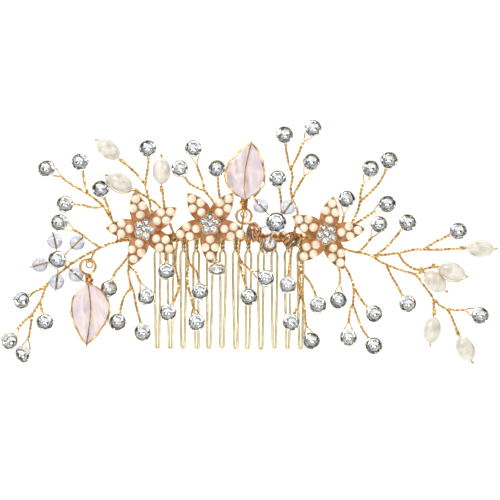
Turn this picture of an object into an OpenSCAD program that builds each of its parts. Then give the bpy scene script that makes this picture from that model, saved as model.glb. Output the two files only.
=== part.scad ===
// Bridal hair comb: twelve wire tines, wired flowers, leaf charms, pearls and rhinestones.
// The tines hang down along -Z, the spray faces -Y, and the origin is the middle of the spine.

/* [Comb] */
// Number of hairpin tines
tine_count = 12; // [6:1:16]
// Distance between neighbouring tines
tine_pitch = 3.9; // [3.2:0.1:6]
// Depth of the tips below the spine
tine_len = 33.6; // [24:0.1:50]
// Diameter of the tine wire
tine_wire_d = 0.8; // [0.6:0.05:1]
// Distance between the two legs of a tine under its shoulder
tine_leg_gap = 1.75; // [1.5:0.05:2.2]
// Diameter of the spine
spine_d = 1.6; // [1:0.1:2]
// Length of the spine beyond the left tine
spine_left = 9.5; // [6:0.5:12]
// Length of the spine beyond the right tine
spine_right = 11.5; // [8:0.5:14]
// Diameter of the binding wire
binding_d = 0.5; // [0.3:0.05:0.7]

/* [Spray] */
// Width of the spray of sprigs
spray_w = 146; // [120:1:190]
// Height of the spray of sprigs
spray_h = 72; // [60:1:95]
// Diameter of a twisted stem
stem_d = 0.95; // [0.7:0.05:1.2]

/* [Stones] */
// Diameter of a sprig's rhinestone
stone_d = 4.6; // [3.5:0.1:5.5]
// Diameter of the rhinestone in the left cluster
left_stone_d = 5; // [4:0.1:6]
// Diameter of the rhinestone in the middle cluster
middle_stone_d = 5.6; // [4:0.1:6.5]
// Wall of a stone's setting
setting_wall = 0.3; // [0.2:0.05:0.5]
// Depth of a setting behind the stone's girdle
setting_depth = 1.9; // [1.6:0.1:2.6]

/* [Rice pearls] */
// Length of a rice pearl
rice_len = 8; // [6:0.1:9.5]
// Diameter of a rice pearl
rice_d = 5.5; // [4:0.1:6.5]
// Diameter of the wire that a rice pearl turns on
rice_wire_d = 0.5; // [0.4:0.05:0.8]
// Clearance between a rice pearl's drilled hole and its wire, on the radius
rice_clearance = 0.05; // [0.03:0.01:0.1]

/* [Flowers] */
// Distance from a flower's centre to its petal tips
flower_r = 11.3; // [10:0.1:12]
// Width of a petal
petal_w = 5.6; // [5:0.1:6.4]
// Height of a petal's rim
petal_rim_h = 1.2; // [0.8:0.1:1.6]
// Diameter of a flower's pearls
seed_d = 2.75; // [2.2:0.05:2.8]
// Diameter of the stones in a flower's centre
centre_stone_d = 1.8; // [1.4:0.05:1.9]

/* [Leaves] */
// Length and width of the hanging leaf
low_leaf = [18, 11]; // [10:0.5:24]
// Length and width of the standing leaf
top_leaf = [17, 11.6]; // [10:0.5:24]
// Thickness of a leaf's frame
leaf_t = 1; // [0.8:0.1:1.4]
// Outer diameter of a leaf's eye
leaf_eye_d = 5.2; // [4:0.1:6]
// Diameter of the wire that a leaf's eye is bent from
leaf_eye_wire_d = 0.7; // [0.5:0.05:0.9]
// Diameter of the hook that carries a leaf
hook_d = 0.8; // [0.6:0.05:1]
// Clearance between a leaf's eye and its hook
hook_clearance = 0.06; // [0.03:0.01:0.1]

/* [Crystals] */
// Diameter of a crystal bead
bead_d = 4.8; // [4:0.1:5.2]
// Diameter of the wire through a crystal bead
bead_wire_d = 0.5; // [0.4:0.05:0.7]
// Clearance between a crystal bead's hole and its wire, on the radius
bead_clearance = 0.1; // [0.05:0.01:0.2]

/* [Hidden] */

GOLD = "#E3C489";
TINE_GOLD = "#C9B77A";
COPPER = "#C8763A";
IVORY = "#F1EBDD";
CLEAR = "#EEF3F7";
ENAMEL = "#E4D6DC";

// The layout below is drawn for a spray of this width and height
LAYOUT_W = 146;
LAYOUT_H = 72;
// Half the width and height of the layout's core, which is wired to the comb and doesn't stretch
CORE_X = 22;
CORE_Z = 9;
// A gap that keeps two seated pieces apart
SEAT_GAP = 0.05;
// How far a glued, soldered or bound piece sinks into the next
SINK = 0.1;

tine_r = tine_wire_d / 2;
comb_half = (tine_count - 1) * tine_pitch / 2;
spine_r = spine_d / 2;
stem_r = stem_d / 2;
// Forward distance of each layer from the comb's own plane
petal_back = 3.2;
petal_floor = 0.5;
petal_wall = 0.35;

// ---- Routes and the frame of the spray ----

// A distance of the layout: the core keeps its size, and what lies past it stretches to the spray's edge
function stretch(d, core, size, layout) = abs(d) <= core ? d
    : sign(d) * (core + (abs(d) - core) * (size / 2 - core) / (layout / 2 - core));

// A point of the layout, lifted forward of the comb's plane
function spot(x, z, lift) =
    [stretch(x, CORE_X, spray_w, LAYOUT_W), -lift, stretch(z, CORE_Z, spray_h, LAYOUT_H)];
function unit(v) = v / norm(v);

// Twigs: [lift at the start, lift at the end, what the end carries, [x, z] points along the wire]
upper_left = [
    [1, 3.2, "stone", [[-30.3, 0.5], [-33, 2.5], [-36, 7], [-38, 10], [-42, 13], [-47, 16],
        [-51, 19], [-54, 20.5]]],
    [2.4, 3.6, "stone", [[-42, 13], [-43, 16.5], [-43.5, 19.5], [-44, 22.5]]],
    [1.8, 3.2, "stone", [[-35, 5.5], [-36, 9], [-37, 11.5], [-38, 14.5]]],
    [2.1, 3.4, "stone", [[-37.5, 9.5], [-40, 9], [-42.5, 9.5], [-45, 10], [-48.5, 10]]]
];
lower_left = [
    [1, 2.2, "fork", [[-29, -0.4], [-35, -1.5], [-38.5, -3], [-43.5, -5.5], [-48, -8.5],
        [-53, -12.5]]],
    [2.2, 3.2, "stone", [[-53, -12.5], [-55, -14.5], [-58.5, -16.5], [-61.5, -18.5]]],
    [2.2, 3.4, "stone", [[-53, -12.5], [-55, -15.5], [-56, -18.5], [-58.5, -22.5], [-62, -26],
        [-65, -30.5]]],
    [2.6, 3.2, "stone", [[-58.5, -22.5], [-59, -25.5], [-59.5, -29], [-61, -34.5]]],
    [2.4, 3.2, "stone", [[-56, -18.5], [-56, -20.5], [-54.5, -25]]],
    [1.4, 4.4, "stone", [[-38.5, -3], [-40.5, -1.5], [-44.5, 1.5], [-46.5, 2.5], [-50, 4.5]]]
];
under_left = [
    [1, 2, "fork", [[-27.5, 0], [-29.5, -4.5], [-30, -8.5], [-30, -11], [-29.5, -13.5],
        [-29.5, -15.5]]],
    [1.4, 3, "stone", [[-29.5, -4.5], [-32, -8], [-34, -10.5], [-35.5, -15]]],
    [2, 3, "stone", [[-29.5, -15.5], [-31, -17], [-32, -20], [-33, -25]]],
    [1.8, 3.4, "stone", [[-29.5, -13.5], [-28.5, -16], [-27.5, -21], [-26.5, -24.5], [-25.5, -28]]],
    [1.6, 3.2, "stone", [[-30, -8.5], [-28, -10], [-27, -12], [-24.5, -17.5]]]
];
top_left = [
    [1, 2, "fork", [[-23, 0], [-23, 6], [-23.5, 10], [-24.5, 14], [-25, 16]]],
    [2, 3.2, "pearl", [[-25, 16], [-28, 19.5], [-32.5, 23.5]]],
    [1, 3, "pearl", [[-20.5, 0], [-20.5, 4], [-20, 8], [-22.5, 11], [-26, 13], [-28.5, 14.5]]],
    [1, 3.2, "pearl", [[-16.6, 0], [-16.8, 2], [-19, 8], [-19.5, 11.5], [-20, 15.5]]],
    [2, 3.4, "stone", [[-25, 16], [-24.5, 19], [-24, 22], [-24, 26.5]]],
    [2, 3.4, "stone", [[-7, 14], [-9.5, 15], [-12, 16.5], [-14.5, 20.5]]],
    [1, 3.2, "stone", [[-3.5, 0], [-4, 9], [-5.5, 12], [-7, 14], [-8, 17.5], [-9.5, 21.5],
        [-10.5, 26.5]]],
    [1, 3.8, "stone", [[-1.2, 0], [-2.5, 10], [-3, 14], [-3.5, 20.5]]]
];
under_middle = [
    [1, 3.2, "stone", [[-19.3, 0], [-19, -5], [-18.5, -10]]],
    [1, 3.4, "stone", [[-15.4, 0], [-16, -8], [-15, -14], [-16, -18], [-18, -22]]],
    [1, 3.2, "stone", [[-12.5, 0], [-12, -7], [-9.5, -10.5], [-8.5, -16]]],
    [1.6, 3.2, "stone", [[-12, -7], [-12.5, -12], [-11.5, -17], [-9.5, -25]]],
    [1, 1.4, "stone", [[-4.6, 0], [-4, -4.5], [-3.5, -9.5]]],
    [1, 3.4, "stone", [[3.4, 0], [3, -6], [4.5, -12.5], [6, -17.5]]],
    [1.4, 3.2, "stone", [[3, -6], [5, -8.5], [7, -10], [11, -12]]]
];
top_right = [
    [1, 2.6, "fork", [[19.2, 0.4], [20, 4], [20.5, 8], [19, 11.5], [18.5, 15], [19, 18],
        [18.5, 20.5]]],
    [2.6, 3.6, "stone", [[18.5, 20.5], [17.5, 23.5], [16.5, 30.5]]],
    [2.6, 3.4, "stone", [[18.5, 20.5], [20.5, 24.5], [22, 28], [25, 32.5]]],
    [2, 3.4, "stone", [[19, 12], [20.5, 15], [22.5, 18.5], [24.5, 22.5]]],
    [1, 3.4, "stone", [[15.4, 0], [15.8, 5], [15.5, 11.5], [14.5, 17.5]]]
];
under_right = [
    [1, 3.2, "stone", [[19, -0.4], [18.5, -5], [18, -9], [17.5, -14]]],
    [1, 1.8, "fork", [[22.6, 0], [22, -5], [21, -11]]],
    [1.8, 3.4, "stone", [[21, -11], [21, -18.5], [20, -21.5], [18.5, -25]]],
    [1.7, 3.2, "stone", [[21, -9.5], [24, -13], [25.5, -16], [26.5, -20]]],
    [1.8, 3.4, "stone", [[21, -11], [21.5, -15.5], [22.5, -21], [23, -26], [24.5, -30.5]]],
    [1, 3.2, "stone", [[28, 0], [31, -5], [33, -10], [33, -14], [32.5, -18.5]]],
    [1, 2.4, "fork", [[29.5, 0], [34, -7.5], [37, -13.5], [37, -20]]],
    [2, 3.4, "stone", [[37, -14], [39.5, -18.5], [43, -22.5]]],
    [2.4, 3.2, "stone", [[37, -20], [36, -22], [35.5, -29.5]]],
    [2.4, 3.4, "stone", [[37, -20], [38.5, -24], [40, -27.5], [43, -32]]]
];
right = [
    [1, 2, "fork", [[32.4, 0.4], [33.8, 1.5], [36, 3.5]]],
    [1.6, 3.2, "stone", [[33.8, 1.5], [34, 5], [35, 11.5]]],
    [2, 3.6, "stone", [[36, 3.5], [38, 7], [39, 10.5], [39.5, 14.5], [42, 20.5]]],
    [2.6, 3.4, "stone", [[39, 10.5], [41.5, 13], [44, 15.5], [46, 18.5], [47.5, 23]]],
    [2, 3.6, "stone", [[36, 3.5], [39, 5], [43.5, 8], [47, 10]]],
    [1, 2.6, "fork", [[31.2, -0.3], [35, -3.5], [41.5, -5], [46, -7.5], [51, -9.5], [55.5, -11],
        [58, -14], [61, -18]]],
    [1.6, 3.2, "stone", [[38.5, -4.5], [41, -2], [43, 1], [44.5, 4]]],
    [1.8, 3.4, "stone", [[43, -5.5], [45.5, -4], [49, -0.5], [53, 4.5]]],
    [1.8, 3.2, "pearl", [[43, -5.5], [50.5, -4.5], [55.5, -3.5], [63, -3.5], [70.5, -3]]],
    [2.6, 3.4, "stone", [[58, -3.5], [61, -1.5], [65, 0.5], [68, 2]]],
    [2, 5, "pearl", [[50.5, -4.5], [52.5, -7.5], [56, -9.5], [59, -9], [62, -8.5]]],
    [2.2, 3.6, "pearl", [[55.5, -11], [56.5, -10.5], [58, -10]]],
    [2.6, 3.2, "pearl", [[61, -18], [61, -20.5], [61, -23]]],
    [2.6, 3.4, "stone", [[61, -18], [63.5, -20.5], [67, -21.5], [71, -21.5], [74.5, -23]]],
    [2.8, 3.2, "pearl", [[65, -21], [66.5, -24], [68.5, -29]]],
    [1.9, 3.4, "stone", [[47, -8], [48.5, -11.5], [50, -14], [53, -19.5]]]
];

// Rice pearls: [x, z, lift of the drilled end nearest the stem, direction in degrees from +X]
rice_pearls = [
    [-32.5, 23.5, 3.2, 140],
    [-28.5, 14.5, 3, 152],
    [-20, 15.5, 3.2, 90],
    [70.5, -3, 3.2, -2],
    [62, -8.5, 5, -18],
    [58, -10, 3.6, -42],
    [61, -23, 3.2, -97],
    [68.5, -29, 3.2, -64]
];

// Flowers: [x, z, angle of the first petal]
left_flower = [-25, 2.5, 34];
middle_flower = [-5.5, 4, 54];
right_flower = [29, 1, 8];

// Leaves: [x, z of the eye's centre, lift, direction of the leaf in degrees from -Z]
low_leaf_at = [-41.5, -8.5, 7, 0];
top_leaf_at = [4.5, 6.5, 2.3, 175];

// Crystal beads: [x, z, lift]
left_centre = [-50.5, -6.5, 3.2];
left_beads = [
    [-51.5, -1, 5.4], [-45, -1.5, 4.6], [-56, -8, 4.8], [-51, -13, 5], [-45.5, -11, 3.2]
];
middle_centre = [14, 4.5, 3];
middle_beads = [[9.5, 9.5, 4.6], [17.5, 9, 5], [7.5, 2, 4.6], [12, -2, 4.8], [18.5, -0.5, 5]];

// ---- Swept wire ----

WIRE_SIDES = 8;

// A point on a smooth curve through four neighbouring points, at share t between the middle two
function between(a, b, c, d, t) = 0.5 * (2 * b + (c - a) * t
    + (2 * a - 5 * b + 4 * c - d) * t * t + (3 * b - a - 3 * c + d) * t * t * t);

// The points of a route with one more point set in the middle of each stretch
function smooth(p) = let (last = len(p) - 1) concat(
    [for (i = [0:last - 1], t = [0, 0.5])
        between(p[max(i - 1, 0)], p[i], p[i + 1], p[min(i + 2, last)], t)],
    [p[last]]);

// A ring of points round a wire at p, square to its direction
function wire_ring(p, dir, r, flat) = let (u = unit(cross(dir, flat)), v = unit(cross(u, dir)))
    [for (k = [0:WIRE_SIDES - 1])
        p + r * (cos(360 * k / WIRE_SIDES) * u + sin(360 * k / WIRE_SIDES) * v)];

// A round wire along a route, closed at both ends. flat is a direction it never runs along
module wire(route, r, flat = [0, 1, 0]) {
    last = len(route) - 1;
    n = WIRE_SIDES;
    rings = [for (i = [0:last])
        wire_ring(route[i], unit(route[min(i + 1, last)] - route[max(i - 1, 0)]), r, flat)];
    points = [for (a = rings, b = a) b];
    sides = [for (i = [0:last - 1], k = [0:n - 1], half = [0, 1])
        let (a = i * n + k, b = i * n + (k + 1) % n)
        half == 0 ? [a, b, a + n] : [b, b + n, a + n]];
    ends = concat(
        [for (k = [1:n - 2]) [0, k + 1, k]],
        [for (k = [1:n - 2]) [last * n, last * n + k, last * n + k + 1]]);
    polyhedron(points, concat(sides, ends));
}

// A piece drawn facing +Z is turned to face the front, -Y, at a point
module facing_front(p) {
    translate(p) rotate([90, 0, 0]) children();
}

// ---- Comb ----

module comb_tines() {
    color(TINE_GOLD) for (i = [0:tine_count - 1])
        translate([i * tine_pitch - comb_half, 0, 0]) hairpin();
}

// One wire bent double: it clasps the spine, runs down, turns at the tip and comes back up
module hairpin() {
    clasp = spine_r + tine_r - SINK / 2;
    neck = tine_r + SINK;
    shoulder = tine_leg_gap / 2;
    tip = tine_r + SINK;
    half = [
        [-neck, -clasp, 0.6],
        [-neck, -clasp, -0.8],
        [-neck, -0.5, -2.4],
        [-neck, 0, -3.6],
        [-shoulder, 0, -5],
        [-shoulder, 0, -7],
        [-tip - (shoulder - tip) * 0.6, 0, -tine_len * 0.5],
        [-tip, 0, tip + tine_r - tine_len],
        [-tip * 0.7, 0, tip * 0.3 + tine_r - tine_len]
    ];
    turn = [[0, 0, tine_r - tine_len]];
    back = [for (i = [len(half) - 1:-1:0]) [-half[i][0], -half[i][1], half[i][2]]];
    wire(concat(half, turn, back), tine_r);
}

module comb_spine() {
    color(GOLD) translate([-comb_half - spine_left, 0, 0]) rotate([0, 90, 0])
        cylinder(h = 2 * comb_half + spine_left + spine_right, d = spine_d, $fn = 48);
}

// Turns of thin wire between the tines, and the ties that hold the flowers
module binding_wire() {
    turns = 3;
    turn_r = spine_r + binding_d / 2 - SINK / 2;
    color(GOLD) {
        for (i = [0:tine_count - 2], k = [0:turns - 1])
            translate([(i + 0.5) * tine_pitch - comb_half + (k - 1) * binding_d * 0.9, 0, 0])
                rotate([0, 90, 0]) rotate_extrude($fn = 48)
                    translate([turn_r, 0]) circle(d = binding_d, $fn = 24);
        for (f = [left_flower, middle_flower, right_flower])
            flower_tie(f);
    }
}

// The stub under a flower, and the wire from it down to the spine
module flower_tie(f) {
    back = spot(f[0], f[1], petal_back);
    stub_end = spot(f[0], f[1], 1);
    foot = [back[0], -spine_r, 0];
    facing_front(stub_end) cylinder(h = petal_back - 1 + SINK, d = 2 * binding_d, $fn = 32);
    wire([foot, (foot + stub_end) / 2 - [0, 0.4, 0], stub_end], binding_d / 2, [1, 0, 0]);
}

// ---- Flowers ----

function flower_at(f) = spot(f[0], f[1], petal_back);
petal_angles = [0, 72, 144, 216, 288];
// Where the four pearls sit on a petal: [distance from the centre, sideways]
seed_seats = [[4.4, 0], [6.85, 1.45], [6.85, -1.45], [9.3, 0]];
seed_lift = petal_floor + seed_d / 2 - SINK / 4;
centre_ring_r = centre_stone_d * 1.08;
centre_cup_r = centre_ring_r + centre_stone_d / 2 + 0.1;
centre_cup_floor = seed_lift + 0.8;
centre_cup_h = 0.8;

// The pointed oval between two arcs, along +X from the flower's centre
module oval(length, width, h) {
    arc_r = (length * length + width * width) / (4 * width);
    translate([length / 2, 0, 0]) intersection() {
        translate([0, arc_r - width / 2, 0]) cylinder(h = h, r = arc_r, $fn = 96);
        translate([0, width / 2 - arc_r, 0]) cylinder(h = h, r = arc_r, $fn = 96);
    }
}

module petals(f) {
    inset_len = petal_wall * flower_r / petal_w;
    color(COPPER) facing_front(flower_at(f)) rotate([0, 0, f[2]]) difference() {
        for (a = petal_angles) rotate([0, 0, a]) oval(flower_r, petal_w, petal_rim_h);
        for (a = petal_angles) rotate([0, 0, a]) translate([inset_len, 0, petal_floor])
            oval(flower_r - 2 * inset_len, petal_w - 2 * petal_wall, petal_rim_h);
    }
}

module petal_pearls(f) {
    color(IVORY) facing_front(flower_at(f)) rotate([0, 0, f[2]])
        for (a = petal_angles, s = seed_seats) rotate([0, 0, a])
            translate([s[0], s[1], seed_lift]) sphere(d = seed_d, $fn = 32);
}

// Seats of the six small stones: the middle one, then five round it
centre_seats = concat([[0, 0]], [for (a = petal_angles) centre_ring_r * [cos(a + 36), sin(a + 36)]]);
centre_girdle = centre_cup_floor + centre_cup_h;

module flower_centre(f) {
    post_r = 1.2;
    color(GOLD) facing_front(flower_at(f)) rotate([0, 0, f[2]]) difference() {
        union() {
            translate([0, 0, petal_rim_h - SINK])
                cylinder(h = centre_cup_floor - petal_rim_h + 2 * SINK, r = post_r, $fn = 48);
            translate([0, 0, centre_cup_floor]) cylinder(h = centre_cup_h, r = centre_cup_r, $fn = 64);
        }
        for (s = centre_seats) translate([s[0], s[1], centre_girdle - centre_stone_d * 0.3])
            cylinder(h = centre_cup_h, d = centre_stone_d * 0.9 + 2 * SEAT_GAP, $fn = 32);
    }
}

module centre_stones(f) {
    color(CLEAR) facing_front(flower_at(f)) rotate([0, 0, f[2]])
        for (s = centre_seats) translate([s[0], s[1], centre_girdle - centre_stone_d * 0.3])
            rotate_extrude($fn = 32) polygon(centre_stone_d * [
                [0, 0.05], [0.2, 0.05], [0.44, 0.25], [0.44, 0.4], [0.25, 0.6], [0, 0.6]]);
}

// ---- Leaf charms ----

leaf_neck = 3;
leaf_rim = 0.6;
leaf_rib = 0.8;
enamel_t = 0.7;
eye_r = leaf_eye_d / 2 - leaf_eye_wire_d / 2;
// The hook touches the eye's inner side furthest from the earth
hook_drop = leaf_eye_d / 2 - leaf_eye_wire_d - hook_d / 2 - hook_clearance;

// Drawn with the eye's centre at the origin and the leaf along +X, facing +Z
module leaf_place(at) {
    facing_front(spot(at[0], at[1], at[2])) rotate([0, 0, at[3] - 90]) children();
}

module leaf_blank(size, inset, h) {
    base = leaf_eye_d / 2 + leaf_neck - leaf_rim;
    inset_len = inset * size[0] / size[1];
    translate([base + inset_len, 0, -h / 2]) oval(size[0] - 2 * inset_len, size[1] - 2 * inset, h);
}

module rib(size, grow) {
    w = leaf_rib + 2 * grow;
    translate([0, -w / 2, -leaf_t]) cube([leaf_eye_d + leaf_neck + size[0] + 1, w, 2 * leaf_t]);
}

module leaf_frame(at, size) {
    color(GOLD) leaf_place(at) {
        difference() {
            leaf_blank(size, 0, leaf_t);
            translate([0, 0, -leaf_t]) leaf_blank(size, leaf_rim, 4 * leaf_t);
        }
        intersection() {
            leaf_blank(size, leaf_rim / 2, leaf_t);
            rib(size, 0);
        }
    }
}

module leaf_enamel(at, size) {
    color(ENAMEL) leaf_place(at) difference() {
        leaf_blank(size, leaf_rim + SEAT_GAP, enamel_t);
        rib(size, SEAT_GAP);
    }
}

// The ring that swings on the hook, and the wraps that bind it to the leaf
module leaf_eye(at) {
    wraps_d = 1.6;
    color(GOLD) leaf_place(at) {
        rotate_extrude($fn = 64) translate([eye_r, 0]) circle(d = leaf_eye_wire_d, $fn = 24);
        translate([eye_r, 0, 0]) rotate([0, 90, 0])
            cylinder(h = leaf_neck + 2 * SINK, d = wraps_d, $fn = 32);
    }
}

// The hook stands at the upper side of the eye, whichever way the leaf lies
function hook_at(at) = spot(at[0], at[1], at[2]) + [0, 0, hook_drop];

// A pin through the leaf's eye, from back to front, and the leg that carries it from its foot
module hook(at, back, foot) {
    head_gap = 0.6;
    head_t = 0.4;
    head_d = hook_d * 1.6;
    leg_d = hook_d * 0.8;
    pin = hook_at(at);
    front = at[2] + leaf_eye_wire_d / 2 + head_gap;
    pin_back = [pin[0], -back, pin[2]];
    facing_front(pin_back) {
        cylinder(h = front - back, d = hook_d, $fn = 32);
        translate([0, 0, front - back]) cylinder(h = head_t, d = head_d, $fn = 32);
    }
    rod(foot, pin_back - [0, hook_d / 2, 0], leg_d);
}

// ---- Crystal clusters ----

module beads(centre, list) {
    c = spot(centre[0], centre[1], centre[2]);
    color(CLEAR) for (b = list) {
        p = spot(b[0], b[1], b[2]);
        difference() {
            translate(p) sphere(d = bead_d, $fn = 48);
            along(c, p - c)
                cylinder(h = 4 * bead_d + norm(p - c), d = bead_wire_d + 2 * bead_clearance, $fn = 32);
        }
    }
}

// Turns +Z to a direction, at a point
module along(p, dir) {
    d = unit(dir);
    translate(p) rotate([0, acos(d[2]), atan2(d[1], d[0])]) children();
}

// A straight round rod between two points
module rod(a, b, d) {
    along(a, b - a) cylinder(h = norm(b - a), d = d, $fn = 32);
}

hub_r = 1.2;
hub_t = 1.2;

// A hub in the cluster's middle, a wire from it through each bead, the post of its stone and its foot
module bead_wires(centre, list, girdle_lift, foot) {
    c = spot(centre[0], centre[1], centre[2]);
    facing_front(c + [0, hub_t / 2, 0]) cylinder(h = hub_t, r = hub_r, $fn = 48);
    for (b = list) {
        p = spot(b[0], b[1], b[2]);
        out = unit(p - c);
        rod(c + out * hub_r * 0.6, p + out * (bead_d / 2 + 0.5), bead_wire_d);
    }
    rod(foot, c + unit(foot - c) * hub_r * 0.6, bead_wire_d * 1.5);
    facing_front(c) cylinder(h = girdle_lift - setting_depth + SINK - centre[2], d = 0.7, $fn = 32);
}

left_girdle = 7.6;
middle_girdle = 7.6;

module left_cluster_wires() {
    color(GOLD) {
        bead_wires(left_centre, left_beads, left_girdle, spot(-46.5, -7.5, 2.1));
        hook(low_leaf_at, 2.4, spot(-40, -3.8, 1.6));
    }
}

module middle_cluster_wires() {
    color(GOLD) {
        bead_wires(middle_centre, middle_beads, middle_girdle, [spot(12, 0, 0)[0], -spine_r + SINK, 0]);
        hook(top_leaf_at, 1, [hook_at(top_leaf_at)[0] - 1, -spine_r + SINK, 0]);
    }
}

// ---- Stones and their settings, drawn facing +Z with the girdle at z = 0 ----

// Shares of a stone's diameter: its depth behind the girdle, its culet's radius, its girdle's
// thickness, its table's radius and its height ahead of the girdle
STONE_CULET = 0.26;
CULET_R = 0.12;
GIRDLE_T = 0.05;
TABLE_R = 0.29;
TABLE_H = 0.22;

module stone(d) {
    rotate_extrude($fn = 48) polygon(d * [
        [0, -STONE_CULET], [CULET_R, -STONE_CULET], [0.5, 0], [0.5, GIRDLE_T],
        [TABLE_R, TABLE_H], [0, TABLE_H]]);
}

module setting(d) {
    rim = 0.12 * d;
    base_r = 0.36 * d;
    flare = 0.1 * d;
    inner = 0.5 * d + SEAT_GAP;
    outer = inner + setting_wall;
    seat = STONE_CULET * d + SEAT_GAP;
    rotate_extrude($fn = 48) polygon([
        [0, -setting_depth], [base_r, -setting_depth], [outer, -flare], [outer, rim],
        [inner, rim], [inner, -SEAT_GAP], [CULET_R * d, -seat], [0, -seat]]);
}

// From a stem's end forward to the girdle of the stone on it
girdle_ahead = STONE_CULET * stone_d + stem_r + 2 * SEAT_GAP;

module on_stems(twigs) {
    for (t = twigs) if (t[2] == "stone") {
        tip = t[3][len(t[3]) - 1];
        facing_front(spot(tip[0], tip[1], t[1] + girdle_ahead)) children();
    }
}

module settings(twigs) {
    color(GOLD) on_stems(twigs) setting(stone_d);
}

module stones(twigs) {
    color(CLEAR) on_stems(twigs) stone(stone_d);
}

module stems(twigs) {
    color(GOLD) for (t = twigs) {
        last = len(t[3]) - 1;
        route = [for (i = [0:last]) spot(t[3][i][0], t[3][i][1], t[0] + (t[1] - t[0]) * i / last)];
        wire(smooth(route), stem_r);
    }
}

module cluster_settings() {
    color(GOLD) {
        facing_front(spot(left_centre[0], left_centre[1], left_girdle)) setting(left_stone_d);
        facing_front(spot(middle_centre[0], middle_centre[1], middle_girdle)) setting(middle_stone_d);
    }
}

module cluster_stones() {
    color(CLEAR) {
        facing_front(spot(left_centre[0], left_centre[1], left_girdle)) stone(left_stone_d);
        facing_front(spot(middle_centre[0], middle_centre[1], middle_girdle)) stone(middle_stone_d);
    }
}

// ---- Rice pearls, drawn with the drilled hole along +Z from the stem's end ----

rice_start = 0.4;

module rice_place(r) {
    along(spot(r[0], r[1], r[2]), [cos(r[3]), 0, sin(r[3])]) children();
}

module rice_pearl(i) {
    steps = 14;
    color(IVORY) rice_place(rice_pearls[i - 1]) difference() {
        translate([0, 0, rice_start + rice_len / 2]) rotate_extrude($fn = 48)
            polygon([for (k = [0:steps]) let (a = 180 * k / steps - 90)
                [abs(a) == 90 ? 0 : cos(a) * rice_d / 2, sin(a) * rice_len / 2]]);
        cylinder(h = rice_len + 4 * rice_start, d = rice_wire_d + 2 * rice_clearance, $fn = 32);
    }
}

// The wire through each rice pearl, with the fold beyond it that keeps it on
module rice_pearl_wires() {
    fold_d = 2 * rice_wire_d;
    reach = rice_len + 2 * rice_start;
    color(GOLD) for (r = rice_pearls) rice_place(r) {
        translate([0, 0, -rice_start]) cylinder(h = reach + rice_start, d = rice_wire_d, $fn = 32);
        translate([0, 0, reach]) sphere(d = fold_d, $fn = 24);
    }
}

comb_tines();
comb_spine();
binding_wire();
petals(left_flower);  // flower_left_petals
petal_pearls(left_flower);  // flower_left_pearls
flower_centre(left_flower);  // flower_left_centre
centre_stones(left_flower);  // flower_left_stones
petals(middle_flower);  // flower_middle_petals
petal_pearls(middle_flower);  // flower_middle_pearls
flower_centre(middle_flower);  // flower_middle_centre
centre_stones(middle_flower);  // flower_middle_stones
petals(right_flower);  // flower_right_petals
petal_pearls(right_flower);  // flower_right_pearls
flower_centre(right_flower);  // flower_right_centre
centre_stones(right_flower);  // flower_right_stones
leaf_frame(low_leaf_at, low_leaf);  // low_leaf_frame
leaf_enamel(low_leaf_at, low_leaf);  // low_leaf_enamel
leaf_eye(low_leaf_at);  // low_leaf_eye
leaf_frame(top_leaf_at, top_leaf);  // top_leaf_frame
leaf_enamel(top_leaf_at, top_leaf);  // top_leaf_enamel
leaf_eye(top_leaf_at);  // top_leaf_eye
beads(left_centre, left_beads);  // left_cluster_beads
left_cluster_wires();
beads(middle_centre, middle_beads);  // middle_cluster_beads
middle_cluster_wires();
cluster_settings();
cluster_stones();
rice_pearl(1);  // rice_pearl_1
rice_pearl(2);  // rice_pearl_2
rice_pearl(3);  // rice_pearl_3
rice_pearl(4);  // rice_pearl_4
rice_pearl(5);  // rice_pearl_5
rice_pearl(6);  // rice_pearl_6
rice_pearl(7);  // rice_pearl_7
rice_pearl(8);  // rice_pearl_8
rice_pearl_wires();
stems(upper_left);  // upper_left_stems
settings(upper_left);  // upper_left_settings
stones(upper_left);  // upper_left_stones
stems(lower_left);  // lower_left_stems
settings(lower_left);  // lower_left_settings
stones(lower_left);  // lower_left_stones
stems(under_left);  // under_left_stems
settings(under_left);  // under_left_settings
stones(under_left);  // under_left_stones
stems(top_left);  // top_left_stems
settings(top_left);  // top_left_settings
stones(top_left);  // top_left_stones
stems(under_middle);  // under_middle_stems
settings(under_middle);  // under_middle_settings
stones(under_middle);  // under_middle_stones
stems(top_right);  // top_right_stems
settings(top_right);  // top_right_settings
stones(top_right);  // top_right_stones
stems(under_right);  // under_right_stems
settings(under_right);  // under_right_settings
stones(under_right);  // under_right_stones
stems(right);  // right_stems
settings(right);  // right_settings
stones(right);  // right_stones
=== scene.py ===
"""A bridal hair comb: wire tines and twisted stems, pressed flowers, leaf charms, pearls and rhinestones.

The tables give places in millimetres, as [x, z] across the spray and a lift forward of the comb's plane.
"""

import math
import random

import bmesh
import bpy
from bpy.props import FloatProperty, FloatVectorProperty, PointerProperty
from mathutils import Matrix, Vector


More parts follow.
